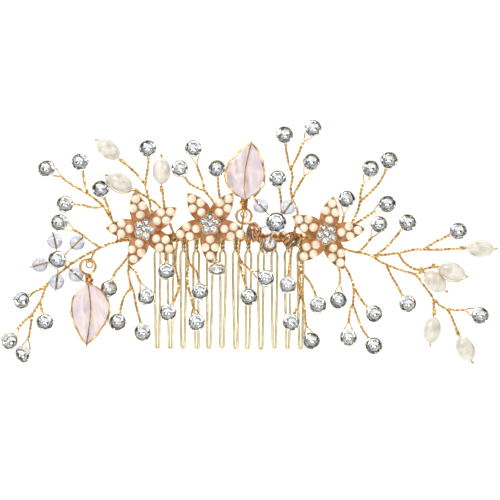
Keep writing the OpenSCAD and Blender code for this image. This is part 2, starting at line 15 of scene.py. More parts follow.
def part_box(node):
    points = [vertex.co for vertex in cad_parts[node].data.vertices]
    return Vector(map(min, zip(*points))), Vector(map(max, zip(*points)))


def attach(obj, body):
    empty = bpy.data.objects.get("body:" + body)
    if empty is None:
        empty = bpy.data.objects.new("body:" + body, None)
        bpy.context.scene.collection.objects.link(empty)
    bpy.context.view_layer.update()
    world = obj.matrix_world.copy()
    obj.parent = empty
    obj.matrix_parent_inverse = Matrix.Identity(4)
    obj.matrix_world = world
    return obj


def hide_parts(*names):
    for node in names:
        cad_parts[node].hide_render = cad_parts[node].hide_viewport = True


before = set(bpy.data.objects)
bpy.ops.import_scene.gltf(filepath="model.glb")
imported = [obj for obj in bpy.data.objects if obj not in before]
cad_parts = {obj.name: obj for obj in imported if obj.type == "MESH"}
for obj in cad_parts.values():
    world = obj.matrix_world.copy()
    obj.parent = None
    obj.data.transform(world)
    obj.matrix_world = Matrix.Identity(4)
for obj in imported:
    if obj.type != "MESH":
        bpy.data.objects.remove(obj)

bl_info = {
    "name": "Bridal Hair Comb",
    "version": (1, 0, 0),
    "blender": (4, 5, 0),
    "location": "View3D > Sidebar > Hair Comb",
    "description": "Builds a wired bridal comb piece by piece round its working frame",
    "category": "Add Mesh",
}

MM = 0.001

# ---- Layout, in millimetres ----

# Twigs of twisted wire: lift at the start, lift at the end, what the end carries, [x, z] points along it
TWIGS = {
    "upper_left": [
        (1, 3.2, "stone", [(-30.3, 0.5), (-33, 2.5), (-36, 7), (-38, 10), (-42, 13), (-47, 16),
            (-51, 19), (-54, 20.5)]),
        (2.4, 3.6, "stone", [(-42, 13), (-43, 16.5), (-43.5, 19.5), (-44, 22.5)]),
        (1.8, 3.2, "stone", [(-35, 5.5), (-36, 9), (-37, 11.5), (-38, 14.5)]),
        (2.1, 3.4, "stone", [(-37.5, 9.5), (-40, 9), (-42.5, 9.5), (-45, 10), (-48.5, 10)]),
    ],
    "lower_left": [
        (1, 2.2, "fork", [(-29, -0.4), (-35, -1.5), (-38.5, -3), (-43.5, -5.5), (-48, -8.5),
            (-53, -12.5)]),
        (2.2, 3.2, "stone", [(-53, -12.5), (-55, -14.5), (-58.5, -16.5), (-61.5, -18.5)]),
        (2.2, 3.4, "stone", [(-53, -12.5), (-55, -15.5), (-56, -18.5), (-58.5, -22.5), (-62, -26),
            (-65, -30.5)]),
        (2.6, 3.2, "stone", [(-58.5, -22.5), (-59, -25.5), (-59.5, -29), (-61, -34.5)]),
        (2.4, 3.2, "stone", [(-56, -18.5), (-56, -20.5), (-54.5, -25)]),
        (1.4, 4.4, "stone", [(-38.5, -3), (-40.5, -1.5), (-44.5, 1.5), (-46.5, 2.5), (-50, 4.5)]),
    ],
    "under_left": [
        (1, 2, "fork", [(-27.5, 0), (-29.5, -4.5), (-30, -8.5), (-30, -11), (-29.5, -13.5),
            (-29.5, -15.5)]),
        (1.4, 3, "stone", [(-29.5, -4.5), (-32, -8), (-34, -10.5), (-35.5, -15)]),
        (2, 3, "stone", [(-29.5, -15.5), (-31, -17), (-32, -20), (-33, -25)]),
        (1.8, 3.4, "stone", [(-29.5, -13.5), (-28.5, -16), (-27.5, -21), (-26.5, -24.5),
            (-25.5, -28)]),
        (1.6, 3.2, "stone", [(-30, -8.5), (-28, -10), (-27, -12), (-24.5, -17.5)]),
    ],
    "top_left": [
        (1, 2, "fork", [(-23, 0), (-23, 6), (-23.5, 10), (-24.5, 14), (-25, 16)]),
        (2, 3.2, "pearl", [(-25, 16), (-28, 19.5), (-32.5, 23.5)]),
        (1, 3, "pearl", [(-20.5, 0), (-20.5, 4), (-20, 8), (-22.5, 11), (-26, 13),
            (-28.5, 14.5)]),
        (1, 3.2, "pearl", [(-16.6, 0), (-16.8, 2), (-19, 8), (-19.5, 11.5), (-20, 15.5)]),
        (2, 3.4, "stone", [(-25, 16), (-24.5, 19), (-24, 22), (-24, 26.5)]),
        (2, 3.4, "stone", [(-7, 14), (-9.5, 15), (-12, 16.5), (-14.5, 20.5)]),
        (1, 3.2, "stone", [(-3.5, 0), (-4, 9), (-5.5, 12), (-7, 14), (-8, 17.5), (-9.5, 21.5),
            (-10.5, 26.5)]),
        (1, 3.8, "stone", [(-1.2, 0), (-2.5, 10), (-3, 14), (-3.5, 20.5)]),
    ],
    "under_middle": [
        (1, 3.2, "stone", [(-19.3, 0), (-19, -5), (-18.5, -10)]),
        (1, 3.4, "stone", [(-15.4, 0), (-16, -8), (-15, -14), (-16, -18), (-18, -22)]),
        (1, 3.2, "stone", [(-12.5, 0), (-12, -7), (-9.5, -10.5), (-8.5, -16)]),
        (1.6, 3.2, "stone", [(-12, -7), (-12.5, -12), (-11.5, -17), (-9.5, -25)]),
        (1, 1.4, "stone", [(-4.6, 0), (-4, -4.5), (-3.5, -9.5)]),
        (1, 3.4, "stone", [(3.4, 0), (3, -6), (4.5, -12.5), (6, -17.5)]),
        (1.4, 3.2, "stone", [(3, -6), (5, -8.5), (7, -10), (11, -12)]),
    ],
    "top_right": [
        (1, 2.6, "fork", [(19.2, 0.4), (20, 4), (20.5, 8), (19, 11.5), (18.5, 15), (19, 18),
            (18.5, 20.5)]),
        (2.6, 3.6, "stone", [(18.5, 20.5), (17.5, 23.5), (16.5, 30.5)]),
        (2.6, 3.4, "stone", [(18.5, 20.5), (20.5, 24.5), (22, 28), (25, 32.5)]),
        (2, 3.4, "stone", [(19, 12), (20.5, 15), (22.5, 18.5), (24.5, 22.5)]),
        (1, 3.4, "stone", [(15.4, 0), (15.8, 5), (15.5, 11.5), (14.5, 17.5)]),
    ],
    "under_right": [
        (1, 3.2, "stone", [(19, -0.4), (18.5, -5), (18, -9), (17.5, -14)]),
        (1, 1.8, "fork", [(22.6, 0), (22, -5), (21, -11)]),
        (1.8, 3.4, "stone", [(21, -11), (21, -18.5), (20, -21.5), (18.5, -25)]),
        (1.7, 3.2, "stone", [(21, -9.5), (24, -13), (25.5, -16), (26.5, -20)]),
        (1.8, 3.4, "stone", [(21, -11), (21.5, -15.5), (22.5, -21), (23, -26), (24.5, -30.5)]),
        (1, 3.2, "stone", [(28, 0), (31, -5), (33, -10), (33, -14), (32.5, -18.5)]),
        (1, 2.4, "fork", [(29.5, 0), (34, -7.5), (37, -13.5), (37, -20)]),
        (2, 3.4, "stone", [(37, -14), (39.5, -18.5), (43, -22.5)]),
        (2.4, 3.2, "stone", [(37, -20), (36, -22), (35.5, -29.5)]),
        (2.4, 3.4, "stone", [(37, -20), (38.5, -24), (40, -27.5), (43, -32)]),
    ],
    "right": [
        (1, 2, "fork", [(32.4, 0.4), (33.8, 1.5), (36, 3.5)]),
        (1.6, 3.2, "stone", [(33.8, 1.5), (34, 5), (35, 11.5)]),
        (2, 3.6, "stone", [(36, 3.5), (38, 7), (39, 10.5), (39.5, 14.5), (42, 20.5)]),
        (2.6, 3.4, "stone", [(39, 10.5), (41.5, 13), (44, 15.5), (46, 18.5), (47.5, 23)]),
        (2, 3.6, "stone", [(36, 3.5), (39, 5), (43.5, 8), (47, 10)]),
        (1, 2.6, "fork", [(31.2, -0.3), (35, -3.5), (41.5, -5), (46, -7.5), (51, -9.5),
            (55.5, -11), (58, -14), (61, -18)]),
        (1.6, 3.2, "stone", [(38.5, -4.5), (41, -2), (43, 1), (44.5, 4)]),
        (1.8, 3.4, "stone", [(43, -5.5), (45.5, -4), (49, -0.5), (53, 4.5)]),
        (1.8, 3.2, "pearl", [(43, -5.5), (50.5, -4.5), (55.5, -3.5), (63, -3.5), (70.5, -3)]),
        (2.6, 3.4, "stone", [(58, -3.5), (61, -1.5), (65, 0.5), (68, 2)]),
        (2, 5, "pearl", [(50.5, -4.5), (52.5, -7.5), (56, -9.5), (59, -9), (62, -8.5)]),
        (2.2, 3.6, "pearl", [(55.5, -11), (56.5, -10.5), (58, -10)]),
        (2.6, 3.2, "pearl", [(61, -18), (61, -20.5), (61, -23)]),
        (2.6, 3.4, "stone", [(61, -18), (63.5, -20.5), (67, -21.5), (71, -21.5), (74.5, -23)]),
        (2.8, 3.2, "pearl", [(65, -21), (66.5, -24), (68.5, -29)]),
        (1.9, 3.4, "stone", [(47, -8), (48.5, -11.5), (50, -14), (53, -19.5)]),
    ],
}

# Rice pearls: x, z and lift of the drilled end nearest the stem, direction in degrees from +X
RICE_PEARLS = [
    (-32.5, 23.5, 3.2, 140),
    (-28.5, 14.5, 3, 152),
    (-20, 15.5, 3.2, 90),
    (70.5, -3, 3.2, -2),
    (62, -8.5, 5, -18),
    (58, -10, 3.6, -42),
    (61, -23, 3.2, -97),
    (68.5, -29, 3.2, -64),
]
# The side on which a pearl's wire comes back over its outside, for the pearls that have one
RETURN_SIDES = {2: 1, 5: -1}

# Flowers: x, z and angle of the first petal
FLOWERS = {"left": (-25, 2.5, 34), "middle": (-5.5, 4, 54), "right": (29, 1, 8)}
PETAL_ANGLES = [0, 72, 144, 216, 288]
# Where the four pearls sit on a petal: distance from the centre, sideways
SEED_SEATS = [(4.4, 0), (6.85, 1.45), (6.85, -1.45), (9.3, 0)]

# Leaves: x, z and lift of the eye's centre, direction in degrees from -Z, length, width
LEAVES = {"low_leaf": (-41.5, -8.5, 7, 0, 18, 11), "top_leaf": (4.5, 6.5, 2.3, 175, 17, 11.6)}

# Crystal clusters: x, z and lift of the hub, then of each bead, the foot of its wire, and the stone's size
CLUSTERS = {
    "left_cluster": {
        "hub": (-50.5, -6.5, 3.2),
        "beads": [(-51.5, -1, 5.4), (-45, -1.5, 4.6), (-56, -8, 4.8), (-51, -13, 5), (-45.5, -11, 3.2)],
        "netted": [],
        "foot": (-46.5, -7.5, 2.1),
        "stone": 5,
    },
    "middle_cluster": {
        "hub": (14, 4.5, 3),
        "beads": [(9.5, 9.5, 4.6), (17.5, 9, 5), (7.5, 2, 4.6), (12, -2, 4.8), (18.5, -0.5, 5)],
        "netted": [2, 4],
        "foot": (12, 0, 0.7),
        "stone": 5.6,
    },
}
CLUSTER_GIRDLE = 7.6

# Stones that lean in their cups: [x, z] of the stone, degrees back and degrees sideways
LEANING = {(-61.5, -18.5): (0, 34), (-65, -30.5): (12, 30), (-61, -34.5): (18, -24), (-3.5, -9.5): (56, 0)}

# Stretches of the spine under dense wraps: from x, to x, wraps, depth and height of the bundle
BUNDLES = [
    (-20.5, -12.5, 7, 1.6, 1.15),
    (4.5, 22, 15, 2.0, 1.3),
    (-33.5, -30, 4, 1.2, 1.0),
    (30.5, 34, 4, 1.2, 1.0),
]

TINE_COUNT = 12
TINE_PITCH = 3.9 * MM
TINE_LEN = 33.6 * MM
SPINE_R = 0.8 * MM
COMB_HALF = (TINE_COUNT - 1) * TINE_PITCH / 2
# Half of a stretch of close turns between two tines
WRAP_HALF = 0.75 * MM
STEM_R = 0.475 * MM
# Distance between the points of a stem's curve
STEM_STEP = 0.3 * MM
# Lift of the petals' backs, in millimetres
PETAL_BACK = 3.2
SEAT_GAP = 0.05 * MM

# Depth behind the girdle as a share of the diameter: of a stone in the frame, and of the cut stone shown
STONE_CULET = 0.26
PAVILION = 0.32
# Rings of corners of a cut stone, from its table to its culet: folds, radius and height as shares of the
# diameter, turn as a share of a step
BRILLIANT = [
    (1, 0.26, 0.21, 0),
    (1, 0.385, 0.155, 0.5),
    (2, 0.495, 0.035, 0),
    (2, 0.495, 0, 0),
    (1, 0.27, -0.18, 0.5),
    (1, 0.04, -PAVILION, 0),
]
# The same for a crystal bead, from one flat end to the other
BEAD = [
    (1, 0.17, 0.47, 0),
    (1, 0.36, 0.34, 0),
    (1, 0.485, 0.11, 0.5),
    (1, 0.485, -0.11, 0.5),
    (1, 0.36, -0.34, 0),
    (1, 0.17, -0.47, 0),
]
# How far a hand-set stone may lean either way, in degrees
ASKEW = 6
# Where a stem's two wires part before a stone's cup, and how wide, as shares of the stone
PLAIN_END = (0.62, 0.16)
LOOPED_END = (0.9, 0.36)
LOOPED_SHARE = 0.35
# How far each strand's middle stands from the stem's, as a share of the strand
STRAND_SPREAD = 0.54

LEAF_NECK_END = 5.0 * MM
HOOK_DROP = 1.44 * MM
RICE_START = 0.4 * MM
# Where a petal's skin starts, away from the flower's centre
PETAL_START = 0.35 * MM
# Where the cards and all lamps but the backdrop's point
AIM = Vector((0.006, 0, -0.004))
# Each group of random draws starts from this plus a number of its own
SEED = 11


def srgb(code):
    """A #RRGGBB colour as linear red, green and blue."""
    parts = [int(code[i:i + 2], 16) / 255 for i in (1, 3, 5)]
    return [p / 12.92 if p <= 0.04045 else ((p + 0.055) / 1.055) ** 2.4 for p in parts]


def length_prop(name, description, millimetres):
    """A length that the sidebar shows in the scene's own unit."""
    return FloatProperty(
        name=name, description=description, default=millimetres * MM, min=0, unit="LENGTH")


def colour_prop(name, description, code):
    """A colour that the sidebar shows as a swatch."""
    return FloatVectorProperty(
        name=name, description=description, default=srgb(code), min=0, max=1, size=3, subtype="COLOR")


class HAIRCOMB_PG_wire(bpy.types.PropertyGroup):
    """Sizes of the wires"""

    strand_d: length_prop("Strand", "Diameter of each of the two wires in a twisted stem", 0.5)
    twist_pitch: length_prop("Twist", "Length of one full turn of a twisted stem", 2.4)
    tine_d: length_prop("Tine wire", "Diameter of the tine wire", 0.8)
    tine_gap: length_prop("Tine legs", "Distance between the legs of a tine under its shoulder", 1.75)
    binding_d: length_prop("Binding", "Diameter of the binding wire", 0.44)
    fine_d: length_prop("Fine wire", "Diameter of the wire through beads and pearls", 0.42)


class HAIRCOMB_PG_jewels(bpy.types.PropertyGroup):
    """Sizes of the stones, pearls, petals and beads"""

    stone_d: length_prop("Rhinestone", "Diameter of a sprig's rhinestone", 4.6)
    setting_wall: length_prop("Setting wall", "Wall of a stone's setting", 0.3)
    setting_depth: length_prop("Setting depth", "Depth of a setting behind the girdle", 1.9)
    centre_stone_d: length_prop("Centre stone", "Diameter of a stone in a flower's centre", 1.8)
    seed_d: length_prop("Flower pearl", "Diameter of a pearl on a petal", 2.75)
    petal_len: length_prop("Petal length", "Distance from a flower's centre to a petal's tip", 11.3)
    petal_w: length_prop("Petal width", "Width of a petal", 5.6)
    petal_rim_h: length_prop("Petal height", "Height of a petal's rim", 1.2)
    rice_len: length_prop("Rice pearl length", "Length of a rice pearl", 8)
    rice_d: length_prop("Rice pearl", "Diameter of a rice pearl", 5.5)
    bead_d: length_prop("Crystal bead", "Diameter of a crystal bead", 4.8)


class HAIRCOMB_PG_finish(bpy.types.PropertyGroup):
    """Colours of the finishes"""

    gold: colour_prop("Gold", "Champagne gold of the stems", "#E9CB90")
    gold_deep: colour_prop("Deep gold", "Warm tone of the stems where the plating is thin", "#B07E40")
    tine: colour_prop("Tine gold", "Pale greenish gold of the tines", "#E4D9AE")
    tine_deep: colour_prop("Deep tine gold", "Darker tone along a tine", "#B39C5E")
    # Painted reflection: this orange stands for gold light bounced inside the cupped petals, and it also
    # tints the wire of painted shade
    painted_warm_bounce: colour_prop("Petal lacquer", "Copper lacquer inside the petals", "#F0B482")
    # Darker patches of the same painted reflection inside the petals
    painted_deep_bounce: colour_prop("Deep lacquer", "Where the lacquer lies thick", "#D07A3C")
    ivory: colour_prop("Pearl", "Ivory coat of the flower pearls", "#F3E7D2")
    ivory_deep: colour_prop("Pearl overtone", "Blush in the flower pearls' coat", "#DDBF96")
    nacre: colour_prop("Nacre", "White of the rice pearls", "#E2DDD2")
    nacre_deep: colour_prop("Nacre overtone", "Grey-cream bands of the rice pearls", "#B3AB9C")
    enamel: colour_prop("Leaf enamel", "Pale pink of the leaves", "#DACCD6")
    enamel_deep: colour_prop("Lilac streak", "Lilac streaks in the leaves", "#AFA0BA")
    silver: colour_prop("Silver gilt", "Pale metal of the stone settings", "#F6EFDC")
    silver_deep: colour_prop("Deep silver gilt", "Tarnish in the settings' corners", "#CDB684")


# ---- Routes, wires and shared shapes ----


def spot(x, z, lift):
    """A place in the layout, in metres."""
    return Vector((x, -lift, z)) * MM


def facing_front(point, turn=0.0):
    """Places a piece drawn facing +Z so that it faces the front, turned in its plane by turn degrees."""
    stand = Matrix.Rotation(math.radians(90), 4, "X") @ Matrix.Rotation(math.radians(turn), 4, "Z")
    return Matrix.Translation(point) @ stand


def along(point, direction):
    """Places a piece drawn along +Z so that it runs in a direction."""
    return Matrix.Translation(point) @ Vector(direction).to_track_quat("Z", "Y").to_matrix().to_4x4()


def between(a, b, c, d, t):
    """A point on a smooth curve through four neighbouring points, at share t between the middle two."""
    bend = 2 * a - 5 * b + 4 * c - d
    sway = 3 * b - a - 3 * c + d
    return 0.5 * (2 * b + (c - a) * t + bend * t * t + sway * t ** 3)


def smooth(points, spacing):
    """The smooth curve through a route's points, with points about a spacing apart."""
    last = len(points) - 1
    made = []
    for i in range(last):
        near = points[max(i - 1, 0)], points[i], points[i + 1], points[min(i + 2, last)]
        steps = max(1, math.ceil((near[2] - near[1]).length / spacing))
        made += [between(*near, k / steps) for k in range(steps)]
    return made + [points[last]]


def travelled(route):
    """How far along a route each of its points is."""
    made = [0.0]
    for a, b in zip(route, route[1:]):
        made.append(made[-1] + (b - a).length)
    return made


def beside(route):
    """For each point of a route, two directions square to it that turn as little as they can."""
    made = []
    side = Vector((0, 1, 0))
    for i in range(len(route)):
        ahead = (route[min(i + 1, len(route) - 1)] - route[max(i - 1, 0)]).normalized()
        side = (side - ahead * side.dot(ahead)).normalized()
        made.append((side, ahead.cross(side)))
    return made


def twisted(route, radius, pitch, open_from=None, open_r=0.0):
    """Two wires twisted round a route. Past open_from they part sideways, to open_r each at the end."""
    far = travelled(route)
    open_from = far[-1] if open_from is None else max(open_from, 0)
    paths = [[], []]
    for point, gone, (u, v) in zip(route, far, beside(route)):
        share = max(0.0, (gone - open_from) / max(far[-1] - open_from, 1e-9))
        r = radius + (open_r - radius) * math.sin(share * math.pi / 2)
        turn = math.pi / 2 + math.tau * min(gone - open_from, 0) / pitch
        for k, path in enumerate(paths):
            angle = turn + k * math.pi
            path.append(point + r * (math.cos(angle) * u + math.sin(angle) * v))
    return paths


def coil(centre, axis, start, turns, rise, radii, rng=None, per_turn=14):
    """A coil round an axis from a start direction. radii are along that direction and square to it."""
    axis = Vector(axis).normalized()
    u = Vector(start).normalized()
    v = axis.cross(u)
    steps = round(turns * per_turn)
    made = []
    for k in range(steps + 1):
        angle = math.tau * k / per_turn
        wander = 1 + (rng.uniform(-0.05, 0.05) if rng else 0)
        ahead = axis * rise * k / per_turn
        out = radii[0] * math.cos(angle) * u + radii[1] * math.sin(angle) * v
        made.append(centre + ahead + wander * out)
    return made


def add_wires(bm, paths, wire_r, sides_more=2, closed=False, material=0):
    """Adds round wires along paths, made by a bevelled curve."""
    curve = bpy.data.curves.new("wires", "CURVE")
    curve.dimensions = "3D"
    curve.bevel_depth = wire_r
    curve.bevel_resolution = sides_more
    curve.use_fill_caps = True
    for path in paths:
        spline = curve.splines.new("POLY")
        spline.points.add(len(path) - 1)
        for point, place in zip(spline.points, path):
            point.co = (*place, 1)
        spline.use_cyclic_u = closed
    holder = bpy.data.objects.new("wires", curve)
    mesh = bpy.data.meshes.new_from_object(holder)
    first = len(bm.faces)
    bm.from_mesh(mesh)
    bm.faces.ensure_lookup_table()
    for face in bm.faces[first:]:
        face.smooth = True
        face.material_index = material
    bpy.data.objects.remove(holder)
    bpy.data.curves.remove(curve)
    bpy.data.meshes.remove(mesh)


def add_copies(bm, template, places):
    """Adds a copy of a template mesh at each place."""
    for place in places:
        copy = template.copy()
        copy.transform(place)
        bm.from_mesh(copy)
        bpy.data.meshes.remove(copy)


def add_ball(bm, centre, radius, stretch=(1, 1, 1), fine=2):
    """Adds a small rounded blob, such as a melted wire end or a prong."""
    place = Matrix.Translation(centre) @ Matrix.Diagonal((*stretch, 1))
    made = bmesh.ops.create_icosphere(bm, subdivisions=fine, radius=radius, matrix=place)
    for face in {f for v in made["verts"] for f in v.link_faces}:
        face.smooth = True


def spin_profile(bm, profile, steps):
    """A solid turned about Z from a profile of radius and height, closed at its poles."""
    corners = [bm.verts.new((radius, 0, height)) for radius, height in profile]
    edges = [bm.edges.new(pair) for pair in zip(corners, corners[1:])]
    bmesh.ops.spin(
        bm, geom=corners + edges, cent=(0, 0, 0), axis=(0, 0, 1), angle=math.tau, steps=steps,
        use_merge=True)
    bmesh.ops.remove_doubles(bm, verts=bm.verts, dist=1e-6)
    bmesh.ops.recalc_face_normals(bm, faces=bm.faces)


def facet(bm, cut, folds, diameter):
    """The cut solid whose corners stand on a cut's rings, with as many folds and as wide as asked."""
    corners = []
    for times, radius, height, turn in cut:
        count = times * folds
        turned = Matrix.Rotation(math.tau * turn / count, 4, "Z")
        place = Matrix.Translation((0, 0, height * diameter)) @ turned
        ring = bmesh.ops.create_circle(bm, segments=count, radius=radius * diameter, matrix=place)
        corners += ring["verts"]
    bmesh.ops.convex_hull(bm, input=corners)
    loose = [edge for edge in bm.edges if not edge.link_faces]
    bmesh.ops.delete(bm, geom=loose, context="EDGES")
    bmesh.ops.dissolve_limit(bm, angle_limit=math.radians(1), verts=bm.verts, edges=bm.edges)
    bmesh.ops.recalc_face_normals(bm, faces=bm.faces)


def to_mesh(bm, name, shaded_smooth=None):
    """The finished mesh. shaded_smooth sets every face, or leaves each as it is."""
    if shaded_smooth is not None:
        for face in bm.faces:
            face.smooth = shaded_smooth
    mesh = bpy.data.meshes.new(name)
    bm.to_mesh(mesh)
    bm.free()
    return mesh


def show(name, bm, body, materials, replaced, crease=40):
    """Puts a finished piece in the scene with its body and materials, and hides the nodes it stands for."""
    mesh = to_mesh(bm, name)
    mesh.set_sharp_from_angle(angle=math.radians(crease))
    for material in materials:
        mesh.materials.append(material)
    piece = bpy.data.objects.new(name, mesh)
    bpy.context.scene.collection.objects.link(piece)
    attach(piece, body)
    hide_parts(*replaced)


# ---- Materials ----


def add_node(tree, kind, settings=None, links=None, stops=()):
    """Adds a node: settings for its sockets or properties, links for its sockets, stops for its ramp."""
    made = tree.nodes.new(kind)
    for key, value in (settings or {}).items():
        if key in made.inputs:
            made.inputs[key].default_value = value
        else:
            setattr(made, key, value)
    for key, source in (links or {}).items():
        tree.links.new(source, made.inputs[key])
    for i, (place, colour) in enumerate(stops):
        if i >= len(made.color_ramp.elements):
            made.color_ramp.elements.new(place)
        made.color_ramp.elements[i].position = place
        made.color_ramp.elements[i].color = (*colour, 1)
    return made


def new_finish(name, sockets):
    """A new material with a Principled shader set to constants, and the object's own coordinates."""
    material = bpy.data.materials.new(name)
    material.use_nodes = True
    tree = material.node_tree
    tree.nodes.clear()
    shader = add_node(tree, "ShaderNodeBsdfPrincipled", sockets)
    add_node(tree, "ShaderNodeOutputMaterial", links={"Surface": shader.outputs["BSDF"]})
    place = add_node(tree, "ShaderNodeTexCoord").outputs["Object"]
    return material, tree, shader, place


def two_tones(tree, shader, place, size, light, deep, low=0.35, high=0.7):
    """Colour that drifts between two tones in patches of about a size, in metres."""
    patches = add_node(
        tree, "ShaderNodeTexNoise", {"Scale": 1 / size, "Detail": 3.0, "Roughness": 0.55},
        {"Vector": place})
    ramp = add_node(
        tree, "ShaderNodeValToRGB", links={"Fac": patches.outputs["Fac"]},
        stops=[(low, light), (high, deep)])
    tree.links.new(ramp.outputs["Color"], shader.inputs["Base Color"])
    return ramp


def worn_gloss(tree, shader, place, size, low, high):
    """Roughness that drifts between two values in patches of about a size, in metres."""
    patches = add_node(tree, "ShaderNodeTexNoise", {"Scale": 1 / size, "Detail": 4.0}, {"Vector": place})
    spread = add_node(
        tree, "ShaderNodeMapRange", {"To Min": low, "To Max": high}, {"Value": patches.outputs["Fac"]})
    tree.links.new(spread.outputs["Result"], shader.inputs["Roughness"])


def dents(tree, shader, place, size, depth, strength):
    """Fine bumps of a size and a depth, in metres."""
    grain = add_node(tree, "ShaderNodeTexNoise", {"Scale": 1 / size, "Detail": 2.0}, {"Vector": place})
    bump = add_node(
        tree, "ShaderNodeBump", {"Distance": depth, "Strength": strength},
        {"Height": grain.outputs["Fac"]})
    tree.links.new(bump.outputs["Normal"], shader.inputs["Normal"])


def gold_plated_wire(colours):
    """Drawn brass wire with a champagne gold flash: bright, warm in patches where the plate is worn."""
    material, tree, shader, place = new_finish("gold_plated_wire", {"Metallic": 1.0})
    two_tones(tree, shader, place, 1.6 * MM, colours.gold, colours.gold_deep, 0.42, 0.78)
    worn_gloss(tree, shader, place, 0.9 * MM, 0.14, 0.3)
    dents(tree, shader, place, 0.35 * MM, 0.02 * MM, 0.25)
    return material


def painted_shade_wire(colours):
    """Gold-plated wire in a deeper orange: painted shade for wire that lies dense or set back, as the dense
    wraps on the spine do.
    """
    material, tree, shader, place = new_finish("painted_shade_gold_wire", {"Metallic": 1.0})
    two_tones(tree, shader, place, 1.2 * MM, colours.gold_deep, colours.painted_warm_bounce, 0.35, 0.68)
    worn_gloss(tree, shader, place, 0.9 * MM, 0.16, 0.34)
    dents(tree, shader, place, 0.3 * MM, 0.02 * MM, 0.3)
    return material


def tine_wire(colours):
    """Half-hard brass comb wire, pale gold plate: drawn lines run down it and dull the gloss a little."""
    material, tree, shader, place = new_finish("plated_tine_wire", {"Metallic": 1.0})
    stretch = add_node(tree, "ShaderNodeMapping", {"Scale": (1.0, 1.0, 0.12)}, {"Vector": place})
    lines = stretch.outputs["Vector"]
    two_tones(tree, shader, lines, 0.5 * MM, colours.tine, colours.tine_deep, 0.4, 0.8)
    worn_gloss(tree, shader, lines, 0.4 * MM, 0.16, 0.32)
    dents(tree, shader, lines, 0.2 * MM, 0.015 * MM, 0.3)
    return material


def silver_gilt(colours):
    """Cast cup metal with a thin silver-gilt plate: pale, dark only where polish never reaches."""
    material, tree, shader, place = new_finish("silver_gilt_cup", {"Metallic": 1.0})
    two_tones(tree, shader, place, 0.8 * MM, colours.silver, colours.silver_deep, 0.45, 0.8)
    worn_gloss(tree, shader, place, 0.5 * MM, 0.1, 0.28)
    dents(tree, shader, place, 0.25 * MM, 0.02 * MM, 0.2)
    return material


def mirror_foil(colours):
    """Silvered foil behind a cut stone: a mirror with faint crinkles."""
    material, tree, shader, place = new_finish("silver_foil", {"Metallic": 1.0})
    two_tones(tree, shader, place, 0.6 * MM, srgb("#F7F8FA"), srgb("#C9CDD4"), 0.4, 0.75)
    worn_gloss(tree, shader, place, 0.5 * MM, 0.0, 0.05)
    return material


def cut_glass(name, light, deep, streak, ior):
    """Lead glass, ground and fire-polished: clear, with a trace of haze and faint grey streaks."""
    material, tree, shader, place = new_finish(name, {"Transmission Weight": 1.0, "IOR": ior})
    two_tones(tree, shader, place, streak, srgb(light), srgb(deep), 0.3, 0.75)
    worn_gloss(tree, shader, place, 1.0 * MM, 0.0, 0.012)
    return material


def petal_painted_reflection(colours):
    """Inside of a pressed brass petal, painted orange as painted reflection of gold light bouncing in its
    cup: darker in patches, glossy, with the metal glowing through.
    """
    material, tree, shader, place = new_finish(
        "painted_reflection_petal", {"Metallic": 0.4, "Coat Weight": 0.7, "Coat Roughness": 0.12})
    two_tones(tree, shader, place, 2.4 * MM, colours.painted_warm_bounce, colours.painted_deep_bounce, 0.38, 0.7)
    worn_gloss(tree, shader, place, 1.0 * MM, 0.22, 0.42)
    dents(tree, shader, place, 0.45 * MM, 0.04 * MM, 0.35)
    return material


def glass_pearl(colours):
    """Glass bead dipped in pearl essence: ivory, soft inside, with a clear glossy skin and a blush."""
    material, tree, shader, place = new_finish("ivory_glass_pearl", {
        "Subsurface Weight": 0.08, "Subsurface Scale": 0.5 * MM, "Coat Weight": 1.0, "Coat Roughness": 0.06,
        "Thin Film Thickness": 380.0, "Thin Film IOR": 1.5})
    two_tones(tree, shader, place, 1.8 * MM, colours.ivory, colours.ivory_deep, 0.4, 0.75)
    worn_gloss(tree, shader, place, 0.8 * MM, 0.18, 0.32)
    dents(tree, shader, place, 0.5 * MM, 0.01 * MM, 0.2)
    return material


def river_nacre(colours):
    """Freshwater rice pearl: layered nacre with faint growth rings, satin rather than glassy."""
    material, tree, shader, place = new_finish("freshwater_nacre", {
        "Subsurface Weight": 0.2, "Subsurface Scale": 0.9 * MM, "Coat Weight": 0.9, "Coat Roughness": 0.1,
        "Thin Film Thickness": 420.0, "Thin Film IOR": 1.45})
    two_tones(tree, shader, place, 2.8 * MM, colours.nacre, colours.nacre_deep, 0.38, 0.78)
    worn_gloss(tree, shader, place, 1.2 * MM, 0.2, 0.36)
    rings = add_node(
        tree, "ShaderNodeTexWave", {"Scale": 0.35 / MM, "Distortion": 4.0, "Detail": 2.0},
        {"Vector": place})
    bump = add_node(
        tree, "ShaderNodeBump", {"Distance": 0.02 * MM, "Strength": 0.12},
        {"Height": rings.outputs["Fac"]})
    tree.links.new(bump.outputs["Normal"], shader.inputs["Normal"])
    return material


def leaf_resin(colours):
    """Cold enamel poured on a wire leaf: milky pink, with lilac streaks and a wet, slightly wavy skin."""
    material, tree, shader, place = new_finish("pink_leaf_enamel", {
        "Subsurface Weight": 0.25, "Subsurface Scale": 1.0 * MM, "Transmission Weight": 0.12, "IOR": 1.5,
        "Coat Weight": 1.0, "Coat Roughness": 0.04, "Thin Film Thickness": 340.0, "Thin Film IOR": 1.4})
    stretch = add_node(tree, "ShaderNodeMapping", {"Scale": (1.0, 1.0, 0.35)}, {"Vector": place})
    ramp = two_tones(
        tree, shader, stretch.outputs["Vector"], 3.2 * MM, colours.enamel, colours.enamel_deep, 0.36, 0.72)
    warm = ramp.color_ramp.elements.new(0.5)
    warm.color = (*srgb("#EFE0DA"), 1)
    worn_gloss(tree, shader, place, 1.5 * MM, 0.08, 0.22)
    dents(tree, shader, place, 1.6 * MM, 0.12 * MM, 0.35)
    return material


